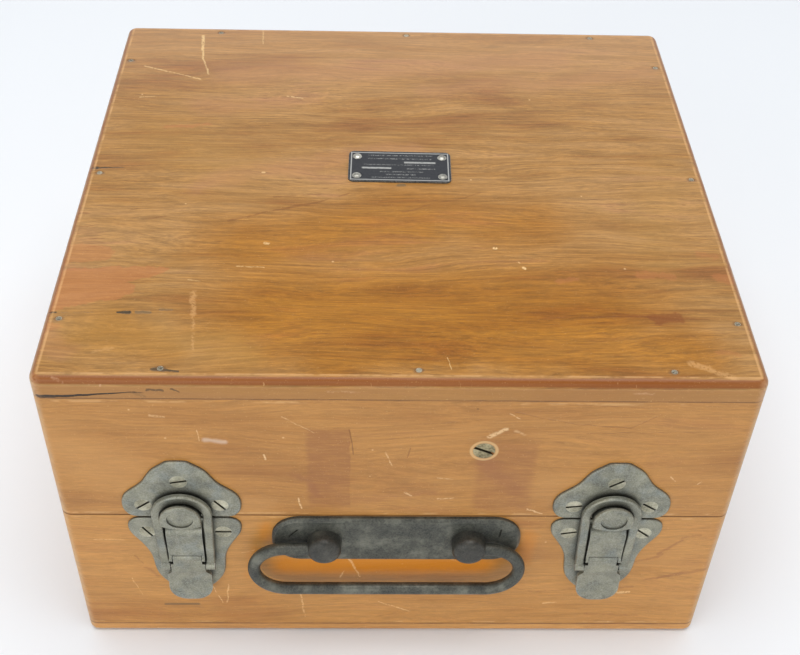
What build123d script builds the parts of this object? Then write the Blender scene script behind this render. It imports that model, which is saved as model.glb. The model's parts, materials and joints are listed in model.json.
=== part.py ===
"""Wooden instrument carrying case: a lidded box with two draw latches and a drop handle.

The origin is the centre of the bottom board's underside. +Z is up, +X is to the right as the
front is faced, and the front is towards -Y. Millimetres.
"""
import os

from build123d import *

# ---- Case ----
WIDTH = 304.8
DEPTH = 286.8
HEIGHT = 178.6
SEAM_Z = 92.0            # parting line between base and lid
SEAM_GAP = 0.4
WALL = 12.7
TOP_BOARD = 11.1
BOTTOM_BOARD = 6.4
CORNER_R = 5.0           # upright corners of the box
TOP_EDGE_R = 3.5
BOTTOM_EDGE_R = 2.6
RABBET = WALL / 2        # how far the side boards sit into the front and back boards

FRONT_Y = -DEPTH / 2
BASE_RIM_Z = SEAM_Z - SEAM_GAP / 2
LID_RIM_Z = SEAM_Z + SEAM_GAP / 2
LID_ROOF_Z = HEIGHT - TOP_BOARD
ROOM_X = WIDTH / 2 - WALL    # half the inside width
ROOM_Y = DEPTH / 2 - WALL    # half the inside depth

# ---- Brads that hold the top and bottom boards ----
BRAD_HEAD_D = 2.6
BRAD_D = 1.5
BRAD_LENGTH = 28.0
BRAD_PITCH = 106.0
BRAD_ROW_X = 7.0             # middle brad of the front and back rows
BRAD_ROW_Y = -1.0            # middle brad of the side rows
BRAD_INSET = 6.6             # from the box's faces to the row of brads

# ---- Cradle inside the base, hold-down inside the lid ----
CRADLE_X = 78.0              # centre of each cradle board
CRADLE_THICK = 18.0
CRADLE_TOP_Z = 72.0
SEAT_R = 56.0                # round seat cut in the cradle boards
SEAT_AXIS_Z = 84.0
FELT = 3.0
CRADLE_PLAY = 0.15           # between cradle ends and the walls
CRADLE_SCREW_Y = 91.5
BLOCK_SCREW_X = 36.5
BLOCK_SCREW_Z = 136.5
BLOCK_SIZE = (46.0, 44.0, 26.0)
BLOCK_EDGE_R = 4.0

# ---- Butt hinges at the back ----
HINGE_X = 88.0
HINGE_LONG = 50.0
LEAF = 1.2
LEAF_WIDE = 11.0             # the part that is let into the rim
BARREL_OUT = 3.0             # hinge axis behind the back face
BARREL_R = 2.6
HINGE_PIN_R = 1.2
PIN_CLEARANCE = 0.06
KNUCKLES = 5
KNUCKLE_GAP = 0.3
HINGE_HEAD_R = 2.1           # heads of the hinge pins
HINGE_HEAD_LONG = 0.9
HINGE_SCREW_PITCH = 18.0

# ---- Nameplate ----
PLATE_LONG = 50.8
PLATE_WIDE = 25.4
PLATE_THICK = 0.8
PLATE_CORNER_R = 3.0
PLATE_X = 1.2
PLATE_Y = FRONT_Y + 149.6
PLATE_TURN = -0.8
PLATE_PIN_PITCH = (42.4, 16.2)

# ---- Drop handle ----
HANDLE_LONG = 114.8
HANDLE_WIDE = 29.6
HANDLE_Z = 76.7
HANDLE_THICK = 2.8
HANDLE_CORNER_R = 13.2
HANDLE_BEVEL = 1.3
HANDLE_SCREW_X = 47.5
HANDLE_SCREW_RISE = 5.8      # above and below the plate's middle
STUD_X = 33.3
STUD_R = 7.9
STUD_TALL = 11.6
STUD_NOSE_R = 4.2
STUD_RIVET_R = 3.0
BAIL_ROD_R = 2.9
BAIL_OUT = 7.0               # pivot axis in front of the front face
BAIL_Z = 76.4
BAIL_BEND_R = 15.2
BAIL_HALF = 46.7             # from the bail's middle to the centre of each end bend
BAIL_SHIFT = -4.3            # the bail slid to the left along its pivots
BAIL_TAIL = 15.4             # straight end that runs into the stud
SOCKET_DEEP = 15.0
SOCKET_CLEARANCE = 0.1

# ---- Draw latches ----
LATCH_X = 96.8
STRIKE_THICK = 1.6
KEEPER_THICK = 1.4
PLATE_EDGE_R = 0.9           # rolled edges of both plates
STRIKE_FOOT_Z = 92.4
STRIKE_FOOT_HALF = 20.2
STRIKE_EAR = (24.8, 94.7)
STRIKE_BELL = ((26.6, 100.6), (24.9, 107.2), (16.8, 115.2), (11.2, 123.8), (6.0, 128.0), (0, 129.3))
KEEPER_TOP_Z = 91.2
KEEPER_TOP_HALF = 18.4
KEEPER_EAR = (23.8, 89.4)
KEEPER_WAIST = ((25.8, 84.8), (23.0, 76.6), (17.4, 64.0), (15.6, 50.0), (9.6, 40.4))
KEEPER_FOOT_Z = 36.8
HOOK_OUT = 9.6
HOOK_LIP = 1.5
HOOK_TOP_Z = 108.0
HOOK_FOOT_Z = 92.8
HOOK_HALF = 9.1
SADDLE_TOP_Z = 105.3
SADDLE_HALF = 8.6
SADDLE_LIFT = 0.7            # the hook's foot hangs this far below its saddle's
HEEL_RISE = 2.4              # from the foot of hook or saddle to the ends of its curve
HOOK_EDGE_R = 0.8
DISH_Z = 100.0               # shallow dish in the hook's face
DISH_SIZE = (6.0, 5.6)
DISH_DEEP = 0.7
BRIDGE_HALF = 8.2
BRIDGE_WALL = 1.3
BRIDGE_OUT = 6.0
BRIDGE_TOP_Z = 88.0
BRIDGE_SHOULDER_Z = 83.4
BRIDGE_CURVE = (4.7, 86.7)   # out from the face, height
BRIDGE_END_Z = 69.7
BRIDGE_OPEN_Z = 60.0         # the space under the bridge starts below the lugs
BRIDGE_ROOF_Z = (82.6, 85.6)  # that space's height at the front and at the plate
LUG_R = 2.6
FULCRUM = (4.4, 67.2)        # out from the face, height
FULCRUM_PIN_R = 1.3
LEVER_KNUCKLE_R = 2.3
LEVER_TIP_Z = 37.4
LEVER_TIP_OUT = 7.2
LEVER_OUT = 6.3
LEVER_BACK_OUT = 2.7
LEVER_WAIST_Z = 58.0
LEVER_FACE_BEND = ((5.6, 54.0), (6.2, 47.0))
LEVER_BACK_BEND = ((4.7, 47.0), (4.1, 54.0))
LEVER_NECK_HALF = 6.6
LEVER_NECK_Z = 63.3
LEVER_WAIST_HALF = 7.9
LEVER_HALF = 10.2
LEVER_WIDE_Z = (53.2, 45.6)  # top and foot of the tongue's straight sides
LEVER_TIP_CURVE = (7.4, 39.8)
LEVER_SHEET = 1.5
LOOP_PIVOT = (4.8, 61.0)
LOOP_PIN_R = 1.2
LOOP_EYE_R = 2.2
LOOP_OUT = 3.4               # back of the loop, out from the face
LOOP_THICK = 2.2
LOOP_TOP_Z = 110.7
LOOP_HALF = 13.6
LOOP_FOOT_HALF = 12.4
LOOP_BAR = 4.1
LOOP_CROWN = 0.6             # the arch is this much taller than its legs are wide
LOOP_EDGE_R = 0.92
LOOP_PIN_OVER = 0.2          # the loop pin shows at each leg

# ---- Fixings: head diameter, shank diameter, length ----
LATCH_SCREW = (7.6, 3.4, 11.0)
HANDLE_SCREW = (6.4, 3.2, 12.0)
HINGE_SCREW = (4.6, 2.2, 10.0)
BLOCK_SCREW = (9.6, 4.4, 28.0)
CRADLE_SCREW = (6.4, 3.2, 22.0)
SCREW_RIM = 0.3              # straight rim of each head
SLOT_WIDE = 0.15             # slot width and depth, as shares of the head's diameter
SLOT_DEEP = 0.13


def front_face(x, out=0.0):
    """Plane on the front face: local x to the right, local y is height, normal outwards."""
    return Plane(origin=(x, FRONT_Y - out, 0), x_dir=(1, 0, 0), z_dir=(0, -1, 0))


def cross_section(x):
    """Upright plane through x: local x outwards from the front face, local y is height."""
    return Plane(origin=(x, FRONT_Y, 0), x_dir=(0, -1, 0), z_dir=(-1, 0, 0))


def places_on(plane, spots):
    """Locations on a plane, one for each (x, y, turn in degrees)."""
    return [plane.location * Location((x, y, 0), (0, 0, turn)) for x, y, turn in spots]


def countersunk_screw(sizes, slotted=True):
    """Wood screw along -Z with the flat top of its head at z = 0."""
    head_d, shank_d, length = sizes
    cone = (head_d - shank_d) / 2
    with BuildPart() as screw:
        with BuildSketch(Plane.XZ):
            with BuildLine():
                Polyline(
                    (0, 0),
                    (head_d / 2, 0),
                    (head_d / 2, -SCREW_RIM),
                    (shank_d / 2, -SCREW_RIM - cone),
                    (shank_d / 2, shank_d - length),
                    (0, -length),
                    close=True,
                )
            make_face()
        revolve(axis=Axis.Z)
        if slotted:
            with BuildSketch():
                Rectangle(head_d, head_d * SLOT_WIDE)
            extrude(amount=-head_d * SLOT_DEEP, mode=Mode.SUBTRACT)
    return screw.part


def brad_nail():
    """Round-headed brad along -Z with its head's top at z = 0."""
    head_tall = 1.0
    with BuildPart() as brad:
        with BuildSketch(Plane.XZ):
            with BuildLine():
                Polyline(
                    (0, 0),
                    (BRAD_HEAD_D / 2, 0),
                    (BRAD_D / 2, -head_tall),
                    (BRAD_D / 2, BRAD_D - BRAD_LENGTH),
                    (0, -BRAD_LENGTH),
                    close=True,
                )
            make_face()
        revolve(axis=Axis.Z)
    return brad.part


def nameplate_pin():
    """Drive pin along -Z with a low domed head that stands on z = 0."""
    head_r = 2.3
    dome = 1.0
    dome_side = (1.43, 0.72)
    shank_r = 0.8
    deep = 6.0
    with BuildPart() as pin:
        with BuildSketch(Plane.XZ):
            with BuildLine():
                ThreePointArc((0, dome), dome_side, (head_r, 0))
                Polyline((head_r, 0), (shank_r, 0), (shank_r, -deep), (0, -deep), (0, dome))
            make_face()
        revolve(axis=Axis.Z)
    return pin.part


def group_of(piece, places):
    """Identical separate solids, one at each place."""
    with BuildPart() as group:
        with Locations(*places):
            add(piece)
    return group.part


def bored(piece, *fixings):
    """The piece with a hole for every (blank, places) that enters it."""
    with BuildPart() as result:
        add(piece)
        for blank, places in fixings:
            with Locations(*places):
                add(blank, mode=Mode.SUBTRACT)
    return result.part


def save(piece, name):
    """Label a finished piece and write it as its own STEP file."""
    piece.label = name
    export_step(piece, f"parts/{name}.step")


os.makedirs("parts", exist_ok=True)
SIDES = {"left": -1, "right": 1}

# ---- Where the fixings go ----
brad_rows = [
    (BRAD_ROW_X + step * BRAD_PITCH, sign * (DEPTH / 2 - BRAD_INSET), 0)
    for step in (-1, 0, 1)
    for sign in (-1, 1)
]
brad_columns = [
    (sign * (WIDTH / 2 - BRAD_INSET), BRAD_ROW_Y + step * BRAD_PITCH, 0)
    for step in (-1, 0, 1)
    for sign in (-1, 1)
]
brad_spots = brad_rows + brad_columns
top_brads = (brad_nail(), places_on(Plane.XY.offset(HEIGHT), brad_spots))
underside = Plane(origin=(0, 0, 0), x_dir=(1, 0, 0), z_dir=(0, 0, -1))
bottom_brads = (brad_nail(), places_on(underside, brad_spots))

plate_plane = Plane(Location((PLATE_X, PLATE_Y, HEIGHT), (0, 0, PLATE_TURN)))
pin_spots = [
    (x * PLATE_PIN_PITCH[0] / 2, y * PLATE_PIN_PITCH[1] / 2, 0) for x in (-1, 1) for y in (-1, 1)
]
plate_pins = (nameplate_pin(), places_on(plate_plane.offset(PLATE_THICK), pin_spots))

block_screw_place = places_on(front_face(BLOCK_SCREW_X), [(0, BLOCK_SCREW_Z, -25)])

handle_spots = [
    (-HANDLE_SCREW_X, HANDLE_Z + HANDLE_SCREW_RISE, 50),
    (HANDLE_SCREW_X, HANDLE_Z + HANDLE_SCREW_RISE, 82),
    (-HANDLE_SCREW_X, HANDLE_Z - HANDLE_SCREW_RISE, 15),
    (HANDLE_SCREW_X, HANDLE_Z - HANDLE_SCREW_RISE, -40),
]
handle_places = places_on(front_face(0, HANDLE_THICK), handle_spots)

strike_spots = {
    "left": [(0, 116.7, 12), (-17.1, 100.8, 38), (17.1, 100.8, -52)],
    "right": [(0, 116.7, 35), (-17.1, 100.8, 8), (17.1, 100.8, -35)],
}
keeper_spots = {
    "left": [(-17.3, 81.5, -58), (17.3, 81.5, 0), (0, 45.0, 20)],
    "right": [(-17.3, 81.5, 12), (17.3, 81.5, -40), (0, 45.0, 75)],
}
strike_places = {
    side: places_on(front_face(sign * LATCH_X, STRIKE_THICK), strike_spots[side])
    for side, sign in SIDES.items()
}
keeper_places = {
    side: places_on(front_face(sign * LATCH_X, KEEPER_THICK), keeper_spots[side])
    for side, sign in SIDES.items()
}

hinge_row_y = DEPTH / 2 - LEAF_WIDE / 2
hinge_spots = [
    (sign * HINGE_X + step * HINGE_SCREW_PITCH, hinge_row_y, 30 * step + 20)
    for sign in (-1, 1)
    for step in (-1, 0, 1)
]
hinge_base_places = places_on(Plane.XY.offset(BASE_RIM_Z), hinge_spots)
lid_rim_plane = Plane(origin=(0, 0, LID_RIM_Z), x_dir=(1, 0, 0), z_dir=(0, 0, -1))
hinge_lid_places = places_on(lid_rim_plane, [(x, -y, turn) for x, y, turn in hinge_spots])

cradle_spots = [(x * CRADLE_X, y * CRADLE_SCREW_Y, 45) for x in (-1, 1) for y in (-1, 1)]
cradle_places = places_on(underside, cradle_spots)

latch_blank = countersunk_screw(LATCH_SCREW, slotted=False)
handle_blank = countersunk_screw(HANDLE_SCREW, slotted=False)
hinge_blank = countersunk_screw(HINGE_SCREW, slotted=False)
block_blank = countersunk_screw(BLOCK_SCREW, slotted=False)
cradle_blank = countersunk_screw(CRADLE_SCREW, slotted=False)
all_strike_places = strike_places["left"] + strike_places["right"]
all_keeper_places = keeper_places["left"] + keeper_places["right"]

save(group_of(*top_brads), "lid_brads")
save(group_of(*bottom_brads), "bottom_brads")
save(group_of(*plate_pins), "nameplate_pins")
save(group_of(countersunk_screw(BLOCK_SCREW), block_screw_place), "lid_front_screw")
save(group_of(countersunk_screw(HANDLE_SCREW), handle_places), "handle_screws")
save(group_of(countersunk_screw(HINGE_SCREW), hinge_base_places), "hinge_base_screws")
save(group_of(countersunk_screw(HINGE_SCREW), hinge_lid_places), "hinge_lid_screws")
save(group_of(countersunk_screw(CRADLE_SCREW), cradle_places), "cradle_screws")
for side in SIDES:
    latch_screw = countersunk_screw(LATCH_SCREW)
    save(group_of(latch_screw, strike_places[side]), f"{side}_strike_screws")
    save(group_of(latch_screw, keeper_places[side]), f"{side}_latch_screws")


# ---- Boards of the box ----
def long_wall(facing, low, high):
    """Full-width front or back board, rabbeted at both ends for the side boards."""
    middle = facing * (DEPTH / 2 - WALL / 2)
    with BuildPart() as wall:
        with BuildSketch(Plane.XY.offset(low)) as plan:
            with Locations((0, middle)):
                Rectangle(WIDTH, WALL)
            outer = plan.vertices().group_by(Axis.Y)[0 if facing < 0 else -1]
            fillet(outer, CORNER_R)
            with GridLocations(WIDTH - WALL, 1, 2, 1):
                with Locations((0, facing * (DEPTH / 2 - RABBET - RABBET / 2))):
                    Rectangle(WALL, RABBET, mode=Mode.SUBTRACT)
        extrude(amount=high - low)
    return wall.part


def side_wall(facing, low, high):
    """Left or right board, set into the rabbets of the front and back boards."""
    with BuildPart() as wall:
        with BuildSketch(Plane.XY.offset(low)):
            with Locations((facing * (WIDTH / 2 - WALL / 2), 0)):
                Rectangle(WALL, DEPTH - 2 * RABBET)
        extrude(amount=high - low)
    return wall.part


def leaf_pockets(low):
    """Shallow pockets for the hinge leaves in a back board's rim."""
    with BuildPart() as pockets:
        with BuildSketch(Plane.XY.offset(low)):
            with Locations((-HINGE_X, hinge_row_y), (HINGE_X, hinge_row_y)):
                Rectangle(HINGE_LONG, LEAF_WIDE)
        extrude(amount=LEAF)
    return pockets.part


at_origin = [Location()]
base_pockets = (leaf_pockets(BASE_RIM_Z - LEAF), at_origin)
lid_pockets = (leaf_pockets(LID_RIM_Z), at_origin)
latch_base_holes = (latch_blank, all_keeper_places)
latch_lid_holes = (latch_blank, all_strike_places)
handle_holes = (handle_blank, handle_places)
hinge_base_holes = (hinge_blank, hinge_base_places)
hinge_lid_holes = (hinge_blank, hinge_lid_places)
block_hole = (block_blank, block_screw_place)
cradle_holes = (cradle_blank, cradle_places)

base_span = (BOTTOM_BOARD, BASE_RIM_Z)
lid_span = (LID_RIM_Z, LID_ROOF_Z)
save(bored(long_wall(-1, *base_span), bottom_brads, latch_base_holes, handle_holes), "base_front")
save(bored(long_wall(1, *base_span), bottom_brads, base_pockets, hinge_base_holes), "base_back")
save(bored(long_wall(-1, *lid_span), top_brads, latch_lid_holes, block_hole), "lid_front")
save(bored(long_wall(1, *lid_span), top_brads, lid_pockets, hinge_lid_holes), "lid_back")
for side, sign in SIDES.items():
    save(bored(side_wall(sign, *base_span), bottom_brads), f"base_{side}")
    save(bored(side_wall(sign, *lid_span), top_brads), f"lid_{side}")

with BuildPart() as base_bottom:
    with BuildSketch():
        RectangleRounded(WIDTH, DEPTH, CORNER_R)
    extrude(amount=BOTTOM_BOARD)
    fillet(base_bottom.faces().sort_by(Axis.Z)[0].edges(), BOTTOM_EDGE_R)
save(bored(base_bottom.part, bottom_brads, cradle_holes), "base_bottom")

with BuildPart() as lid_top:
    with BuildSketch(Plane.XY.offset(LID_ROOF_Z)):
        RectangleRounded(WIDTH, DEPTH, CORNER_R)
    extrude(amount=TOP_BOARD)
    fillet(lid_top.faces().sort_by(Axis.Z)[-1].edges(), TOP_EDGE_R)
save(bored(lid_top.part, top_brads, plate_pins), "lid_top")

# ---- Cradle and hold-down ----
cradle_half_long = ROOM_Y - CRADLE_PLAY
seat_half = (SEAT_R**2 - (SEAT_AXIS_Z - CRADLE_TOP_Z) ** 2) ** 0.5


def cradle_board(x):
    """Board across the base with a round seat for the instrument."""
    with BuildPart() as board:
        with BuildSketch(Plane.YZ.offset(x - CRADLE_THICK / 2)):
            with Locations((0, (BOTTOM_BOARD + CRADLE_TOP_Z) / 2)):
                Rectangle(2 * cradle_half_long, CRADLE_TOP_Z - BOTTOM_BOARD)
            with Locations((0, SEAT_AXIS_Z)):
                Circle(SEAT_R, mode=Mode.SUBTRACT)
        extrude(amount=CRADLE_THICK)
    return board.part


def cradle_felt(x):
    """Felt that lines the round seat of a cradle board."""
    with BuildPart() as felt:
        with BuildSketch(Plane.YZ.offset(x - CRADLE_THICK / 2)):
            with Locations((0, SEAT_AXIS_Z)):
                Circle(SEAT_R)
                Circle(SEAT_R - FELT, mode=Mode.SUBTRACT)
            with Locations((0, (BOTTOM_BOARD + CRADLE_TOP_Z) / 2)):
                Rectangle(2 * seat_half, CRADLE_TOP_Z - BOTTOM_BOARD, mode=Mode.INTERSECT)
        extrude(amount=CRADLE_THICK)
    return felt.part


for side, sign in SIDES.items():
    save(bored(cradle_board(sign * CRADLE_X), cradle_holes), f"cradle_{side}")
    save(cradle_felt(sign * CRADLE_X), f"cradle_felt_{side}")

block_wide, block_deep, block_tall = BLOCK_SIZE
block_middle = Location((BLOCK_SCREW_X, -ROOM_Y + block_deep / 2, BLOCK_SCREW_Z))
with BuildPart() as hold_down_block:
    with BuildSketch(Plane(block_middle).offset(-block_tall / 2)):
        Rectangle(block_wide, block_deep)
    extrude(amount=block_tall)
    inner_edges = hold_down_block.edges().filter_by(Axis.Z).group_by(Axis.Y)[-1]
    fillet(inner_edges, BLOCK_EDGE_R)
save(bored(hold_down_block.part, block_hole), "hold_down_block")

with BuildPart() as hold_down_felt:
    with BuildSketch(Plane(block_middle).offset(-block_tall / 2 - FELT)):
        RectangleRounded(block_wide - 2 * FELT, block_deep - 2 * FELT, FELT)
    extrude(amount=FELT)
save(hold_down_felt.part, "hold_down_felt")

# ---- Hinges ----
hinge_axis_y = DEPTH / 2 + BARREL_OUT
knuckle_pitch = HINGE_LONG / KNUCKLES
knuckle_long = knuckle_pitch - KNUCKLE_GAP


def knuckle_centres(x, first):
    """Centres along X of every second knuckle, counted from the first."""
    start = x - HINGE_LONG / 2 + knuckle_pitch / 2
    return [start + index * knuckle_pitch for index in range(first, KNUCKLES, 2)]


def hinge_leaf(x, low, first, holes, pin_fit):
    """One leaf of a butt hinge: a plate let into the rim and its knuckles round the pin."""
    with BuildPart() as leaf:
        with BuildSketch(Plane.XY.offset(low)):
            with Locations((x, hinge_row_y)):
                Rectangle(HINGE_LONG, LEAF_WIDE)
            for centre in knuckle_centres(x, first):
                with Locations((centre, DEPTH / 2 + BARREL_OUT / 2)):
                    Rectangle(knuckle_long, BARREL_OUT)
        extrude(amount=LEAF)
        for centre in knuckle_centres(x, first):
            with BuildSketch(Plane.YZ.offset(centre - knuckle_long / 2)):
                with Locations((hinge_axis_y, SEAM_Z)):
                    Circle(BARREL_R)
            extrude(amount=knuckle_long)
        with BuildSketch(Plane.YZ.offset(x - HINGE_LONG / 2)):
            with Locations((hinge_axis_y, SEAM_Z)):
                Circle(HINGE_PIN_R + pin_fit)
        extrude(amount=HINGE_LONG, mode=Mode.SUBTRACT)
    return bored(leaf.part, holes)


def hinge_pin(x):
    """Pin through all the knuckles, with a small head at each end."""
    with BuildPart() as pin:
        with BuildSketch(Plane.YZ.offset(x - HINGE_LONG / 2)):
            with Locations((hinge_axis_y, SEAM_Z)):
                Circle(HINGE_PIN_R)
        extrude(amount=HINGE_LONG)
        for end in (x - HINGE_LONG / 2 - HINGE_HEAD_LONG, x + HINGE_LONG / 2):
            with BuildSketch(Plane.YZ.offset(end)):
                with Locations((hinge_axis_y, SEAM_Z)):
                    Circle(HINGE_HEAD_R)
            extrude(amount=HINGE_HEAD_LONG)
    return pin.part


for side, sign in SIDES.items():
    hinge_x = sign * HINGE_X
    base_leaf = hinge_leaf(hinge_x, BASE_RIM_Z - LEAF, 0, hinge_base_holes, 0)
    lid_leaf = hinge_leaf(hinge_x, LID_RIM_Z, 1, hinge_lid_holes, PIN_CLEARANCE)
    save(base_leaf, f"{side}_hinge_base_leaf")
    save(lid_leaf, f"{side}_hinge_lid_leaf")
    save(hinge_pin(hinge_x), f"{side}_hinge_pin")

# ---- Nameplate ----
with BuildPart() as nameplate:
    with BuildSketch(plate_plane):
        RectangleRounded(PLATE_LONG, PLATE_WIDE, PLATE_CORNER_R)
    extrude(amount=PLATE_THICK)
save(bored(nameplate.part, plate_pins), "nameplate")

# ---- Drop handle ----
with BuildPart() as handle_plate:
    with BuildSketch(front_face(0)):
        with Locations((0, HANDLE_Z)):
            RectangleRounded(HANDLE_LONG, HANDLE_WIDE, HANDLE_CORNER_R)
    extrude(amount=HANDLE_THICK)
    chamfer(handle_plate.faces().sort_by(Axis.Y)[0].edges(), HANDLE_BEVEL)
    with BuildSketch(front_face(0)):
        with Locations((-STUD_X, HANDLE_Z), (STUD_X, HANDLE_Z)):
            Circle(STUD_RIVET_R)
    extrude(amount=HANDLE_THICK, mode=Mode.SUBTRACT)
save(bored(handle_plate.part, handle_holes), "handle_plate")


def handle_stud(facing):
    """Round stud riveted through the plate, with a blind socket for one end of the bail."""
    nose_flat = STUD_R - STUD_NOSE_R
    with BuildPart() as stud:
        with BuildSketch(cross_section(facing * STUD_X)):
            with BuildLine():
                Line((0, HANDLE_Z), (0, HANDLE_Z + STUD_RIVET_R))
                Line((0, HANDLE_Z + STUD_RIVET_R), (HANDLE_THICK, HANDLE_Z + STUD_RIVET_R))
                Line((HANDLE_THICK, HANDLE_Z + STUD_RIVET_R), (HANDLE_THICK, HANDLE_Z + STUD_R))
                Line((HANDLE_THICK, HANDLE_Z + STUD_R), (STUD_TALL - STUD_NOSE_R, HANDLE_Z + STUD_R))
                RadiusArc(
                    (STUD_TALL - STUD_NOSE_R, HANDLE_Z + STUD_R),
                    (STUD_TALL, HANDLE_Z + nose_flat),
                    STUD_NOSE_R,
                )
                Line((STUD_TALL, HANDLE_Z + nose_flat), (STUD_TALL, HANDLE_Z))
                Line((STUD_TALL, HANDLE_Z), (0, HANDLE_Z))
            make_face()
        revolve(axis=Axis((facing * STUD_X, FRONT_Y, HANDLE_Z), (0, -1, 0)))
        socket_end = facing * (STUD_X + STUD_R - SOCKET_DEEP)
        with BuildSketch(Plane.YZ.offset(socket_end)):
            with Locations((FRONT_Y - BAIL_OUT, BAIL_Z)):
                Circle(BAIL_ROD_R + SOCKET_CLEARANCE)
        extrude(amount=facing * 2 * SOCKET_DEEP, mode=Mode.SUBTRACT)
    return stud.part


for side, sign in SIDES.items():
    save(handle_stud(sign), f"handle_stud_{side}")

bail_left = BAIL_SHIFT - BAIL_HALF
bail_right = BAIL_SHIFT + BAIL_HALF
bail_low = BAIL_Z - 2 * BAIL_BEND_R
bail_mid = BAIL_Z - BAIL_BEND_R
with BuildPart() as handle_bail:
    with BuildLine(front_face(0, BAIL_OUT)) as bail_path:
        Line((bail_left + BAIL_TAIL, BAIL_Z), (bail_left, BAIL_Z))
        ThreePointArc((bail_left, BAIL_Z), (bail_left - BAIL_BEND_R, bail_mid), (bail_left, bail_low))
        Line((bail_left, bail_low), (bail_right, bail_low))
        ThreePointArc(
            (bail_right, bail_low), (bail_right + BAIL_BEND_R, bail_mid), (bail_right, BAIL_Z)
        )
        Line((bail_right, BAIL_Z), (bail_right - BAIL_TAIL, BAIL_Z))
    with BuildSketch(Plane(origin=bail_path.line @ 0, z_dir=bail_path.line % 0)):
        Circle(BAIL_ROD_R)
    sweep()
save(handle_bail.part, "handle_bail")


# ---- Draw latches ----
def strike_plate(x):
    """Bell-shaped plate on the lid with the hook that the loop pulls down on."""
    with BuildPart() as strike:
        with BuildSketch(front_face(x)):
            with BuildLine():
                Line((0, STRIKE_FOOT_Z), (STRIKE_FOOT_HALF, STRIKE_FOOT_Z))
                foot_end = (STRIKE_FOOT_HALF, STRIKE_FOOT_Z)
                Spline(foot_end, STRIKE_EAR, STRIKE_BELL[0], tangents=((1, 0), (0, 1)))
                Spline(*STRIKE_BELL, tangents=((0, 1), (-1, 0)))
                mirror(about=Plane.YZ)
            make_face()
        extrude(amount=STRIKE_THICK)
        fillet(strike.faces().sort_by(Axis.Y)[0].edges(), PLATE_EDGE_R)
        for top, half, foot, back, out in (
            (SADDLE_TOP_Z, SADDLE_HALF, HOOK_FOOT_Z + SADDLE_LIFT, STRIKE_THICK, HOOK_OUT - HOOK_LIP),
            (HOOK_TOP_Z, HOOK_HALF, HOOK_FOOT_Z, HOOK_OUT - HOOK_LIP, HOOK_OUT),
        ):
            shoulder = top - half
            heel = foot + HEEL_RISE
            with BuildSketch(front_face(x, back)):
                with BuildLine():
                    Line((-half, heel), (-half, shoulder))
                    ThreePointArc((-half, shoulder), (0, top), (half, shoulder))
                    Line((half, shoulder), (half, heel))
                    ThreePointArc((half, heel), (0, foot), (-half, heel))
                make_face()
            extrude(amount=out - back)
        fillet(strike.faces().sort_by(Axis.Y)[0].edges(), HOOK_EDGE_R)
        with BuildSketch(front_face(x, HOOK_OUT)):
            with Locations((0, DISH_Z)):
                Ellipse(*DISH_SIZE)
        extrude(amount=-DISH_DEEP, mode=Mode.SUBTRACT)
    return strike.part


def latch_plate(x):
    """Plate on the base with ears and the bridge that carries the lever's fulcrum pin."""
    fulcrum_out, fulcrum_z = FULCRUM
    with BuildPart() as plate:
        with BuildSketch(front_face(x)):
            with BuildLine():
                Line((0, KEEPER_TOP_Z), (KEEPER_TOP_HALF, KEEPER_TOP_Z))
                top_end = (KEEPER_TOP_HALF, KEEPER_TOP_Z)
                Spline(top_end, KEEPER_EAR, KEEPER_WAIST[0], tangents=((1, 0), (0, -1)))
                Spline(*KEEPER_WAIST, (0, KEEPER_FOOT_Z), tangents=((0, -1), (-1, 0)))
                mirror(about=Plane.YZ)
            make_face()
        extrude(amount=KEEPER_THICK)
        fillet(plate.faces().sort_by(Axis.Y)[0].edges(), PLATE_EDGE_R)
        with BuildSketch(cross_section(x)):
            with BuildLine():
                Line((KEEPER_THICK, BRIDGE_TOP_Z), (KEEPER_THICK, fulcrum_z))
                Line((KEEPER_THICK, fulcrum_z), (fulcrum_out - LUG_R, fulcrum_z))
                ThreePointArc(
                    (fulcrum_out - LUG_R, fulcrum_z),
                    (fulcrum_out, fulcrum_z - LUG_R),
                    (fulcrum_out + LUG_R, fulcrum_z),
                )
                Line((fulcrum_out + LUG_R, fulcrum_z), (BRIDGE_OUT, BRIDGE_END_Z))
                Line((BRIDGE_OUT, BRIDGE_END_Z), (BRIDGE_OUT, BRIDGE_SHOULDER_Z))
                ThreePointArc((BRIDGE_OUT, BRIDGE_SHOULDER_Z), BRIDGE_CURVE, (KEEPER_THICK, BRIDGE_TOP_Z))
            make_face()
        extrude(amount=BRIDGE_HALF, both=True)
        with BuildSketch(cross_section(x)):
            with BuildLine():
                Polyline(
                    (KEEPER_THICK, BRIDGE_OPEN_Z),
                    (2 * BRIDGE_OUT, BRIDGE_OPEN_Z),
                    (2 * BRIDGE_OUT, BRIDGE_END_Z),
                    (BRIDGE_OUT - BRIDGE_WALL, BRIDGE_END_Z),
                    (BRIDGE_OUT - BRIDGE_WALL, BRIDGE_ROOF_Z[0]),
                    (KEEPER_THICK, BRIDGE_ROOF_Z[1]),
                    close=True,
                )
            make_face()
        extrude(amount=BRIDGE_HALF - BRIDGE_WALL, both=True, mode=Mode.SUBTRACT)
        with BuildSketch(cross_section(x)):
            with Locations(FULCRUM):
                Circle(FULCRUM_PIN_R)
        extrude(amount=BRIDGE_HALF, both=True, mode=Mode.SUBTRACT)
    return plate.part


def cross_pin(x, centre, radius, half_long):
    """Plain pin along X."""
    with BuildPart() as pin:
        with BuildSketch(cross_section(x)):
            with Locations(centre):
                Circle(radius)
        extrude(amount=half_long, both=True)
    return pin.part


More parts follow.
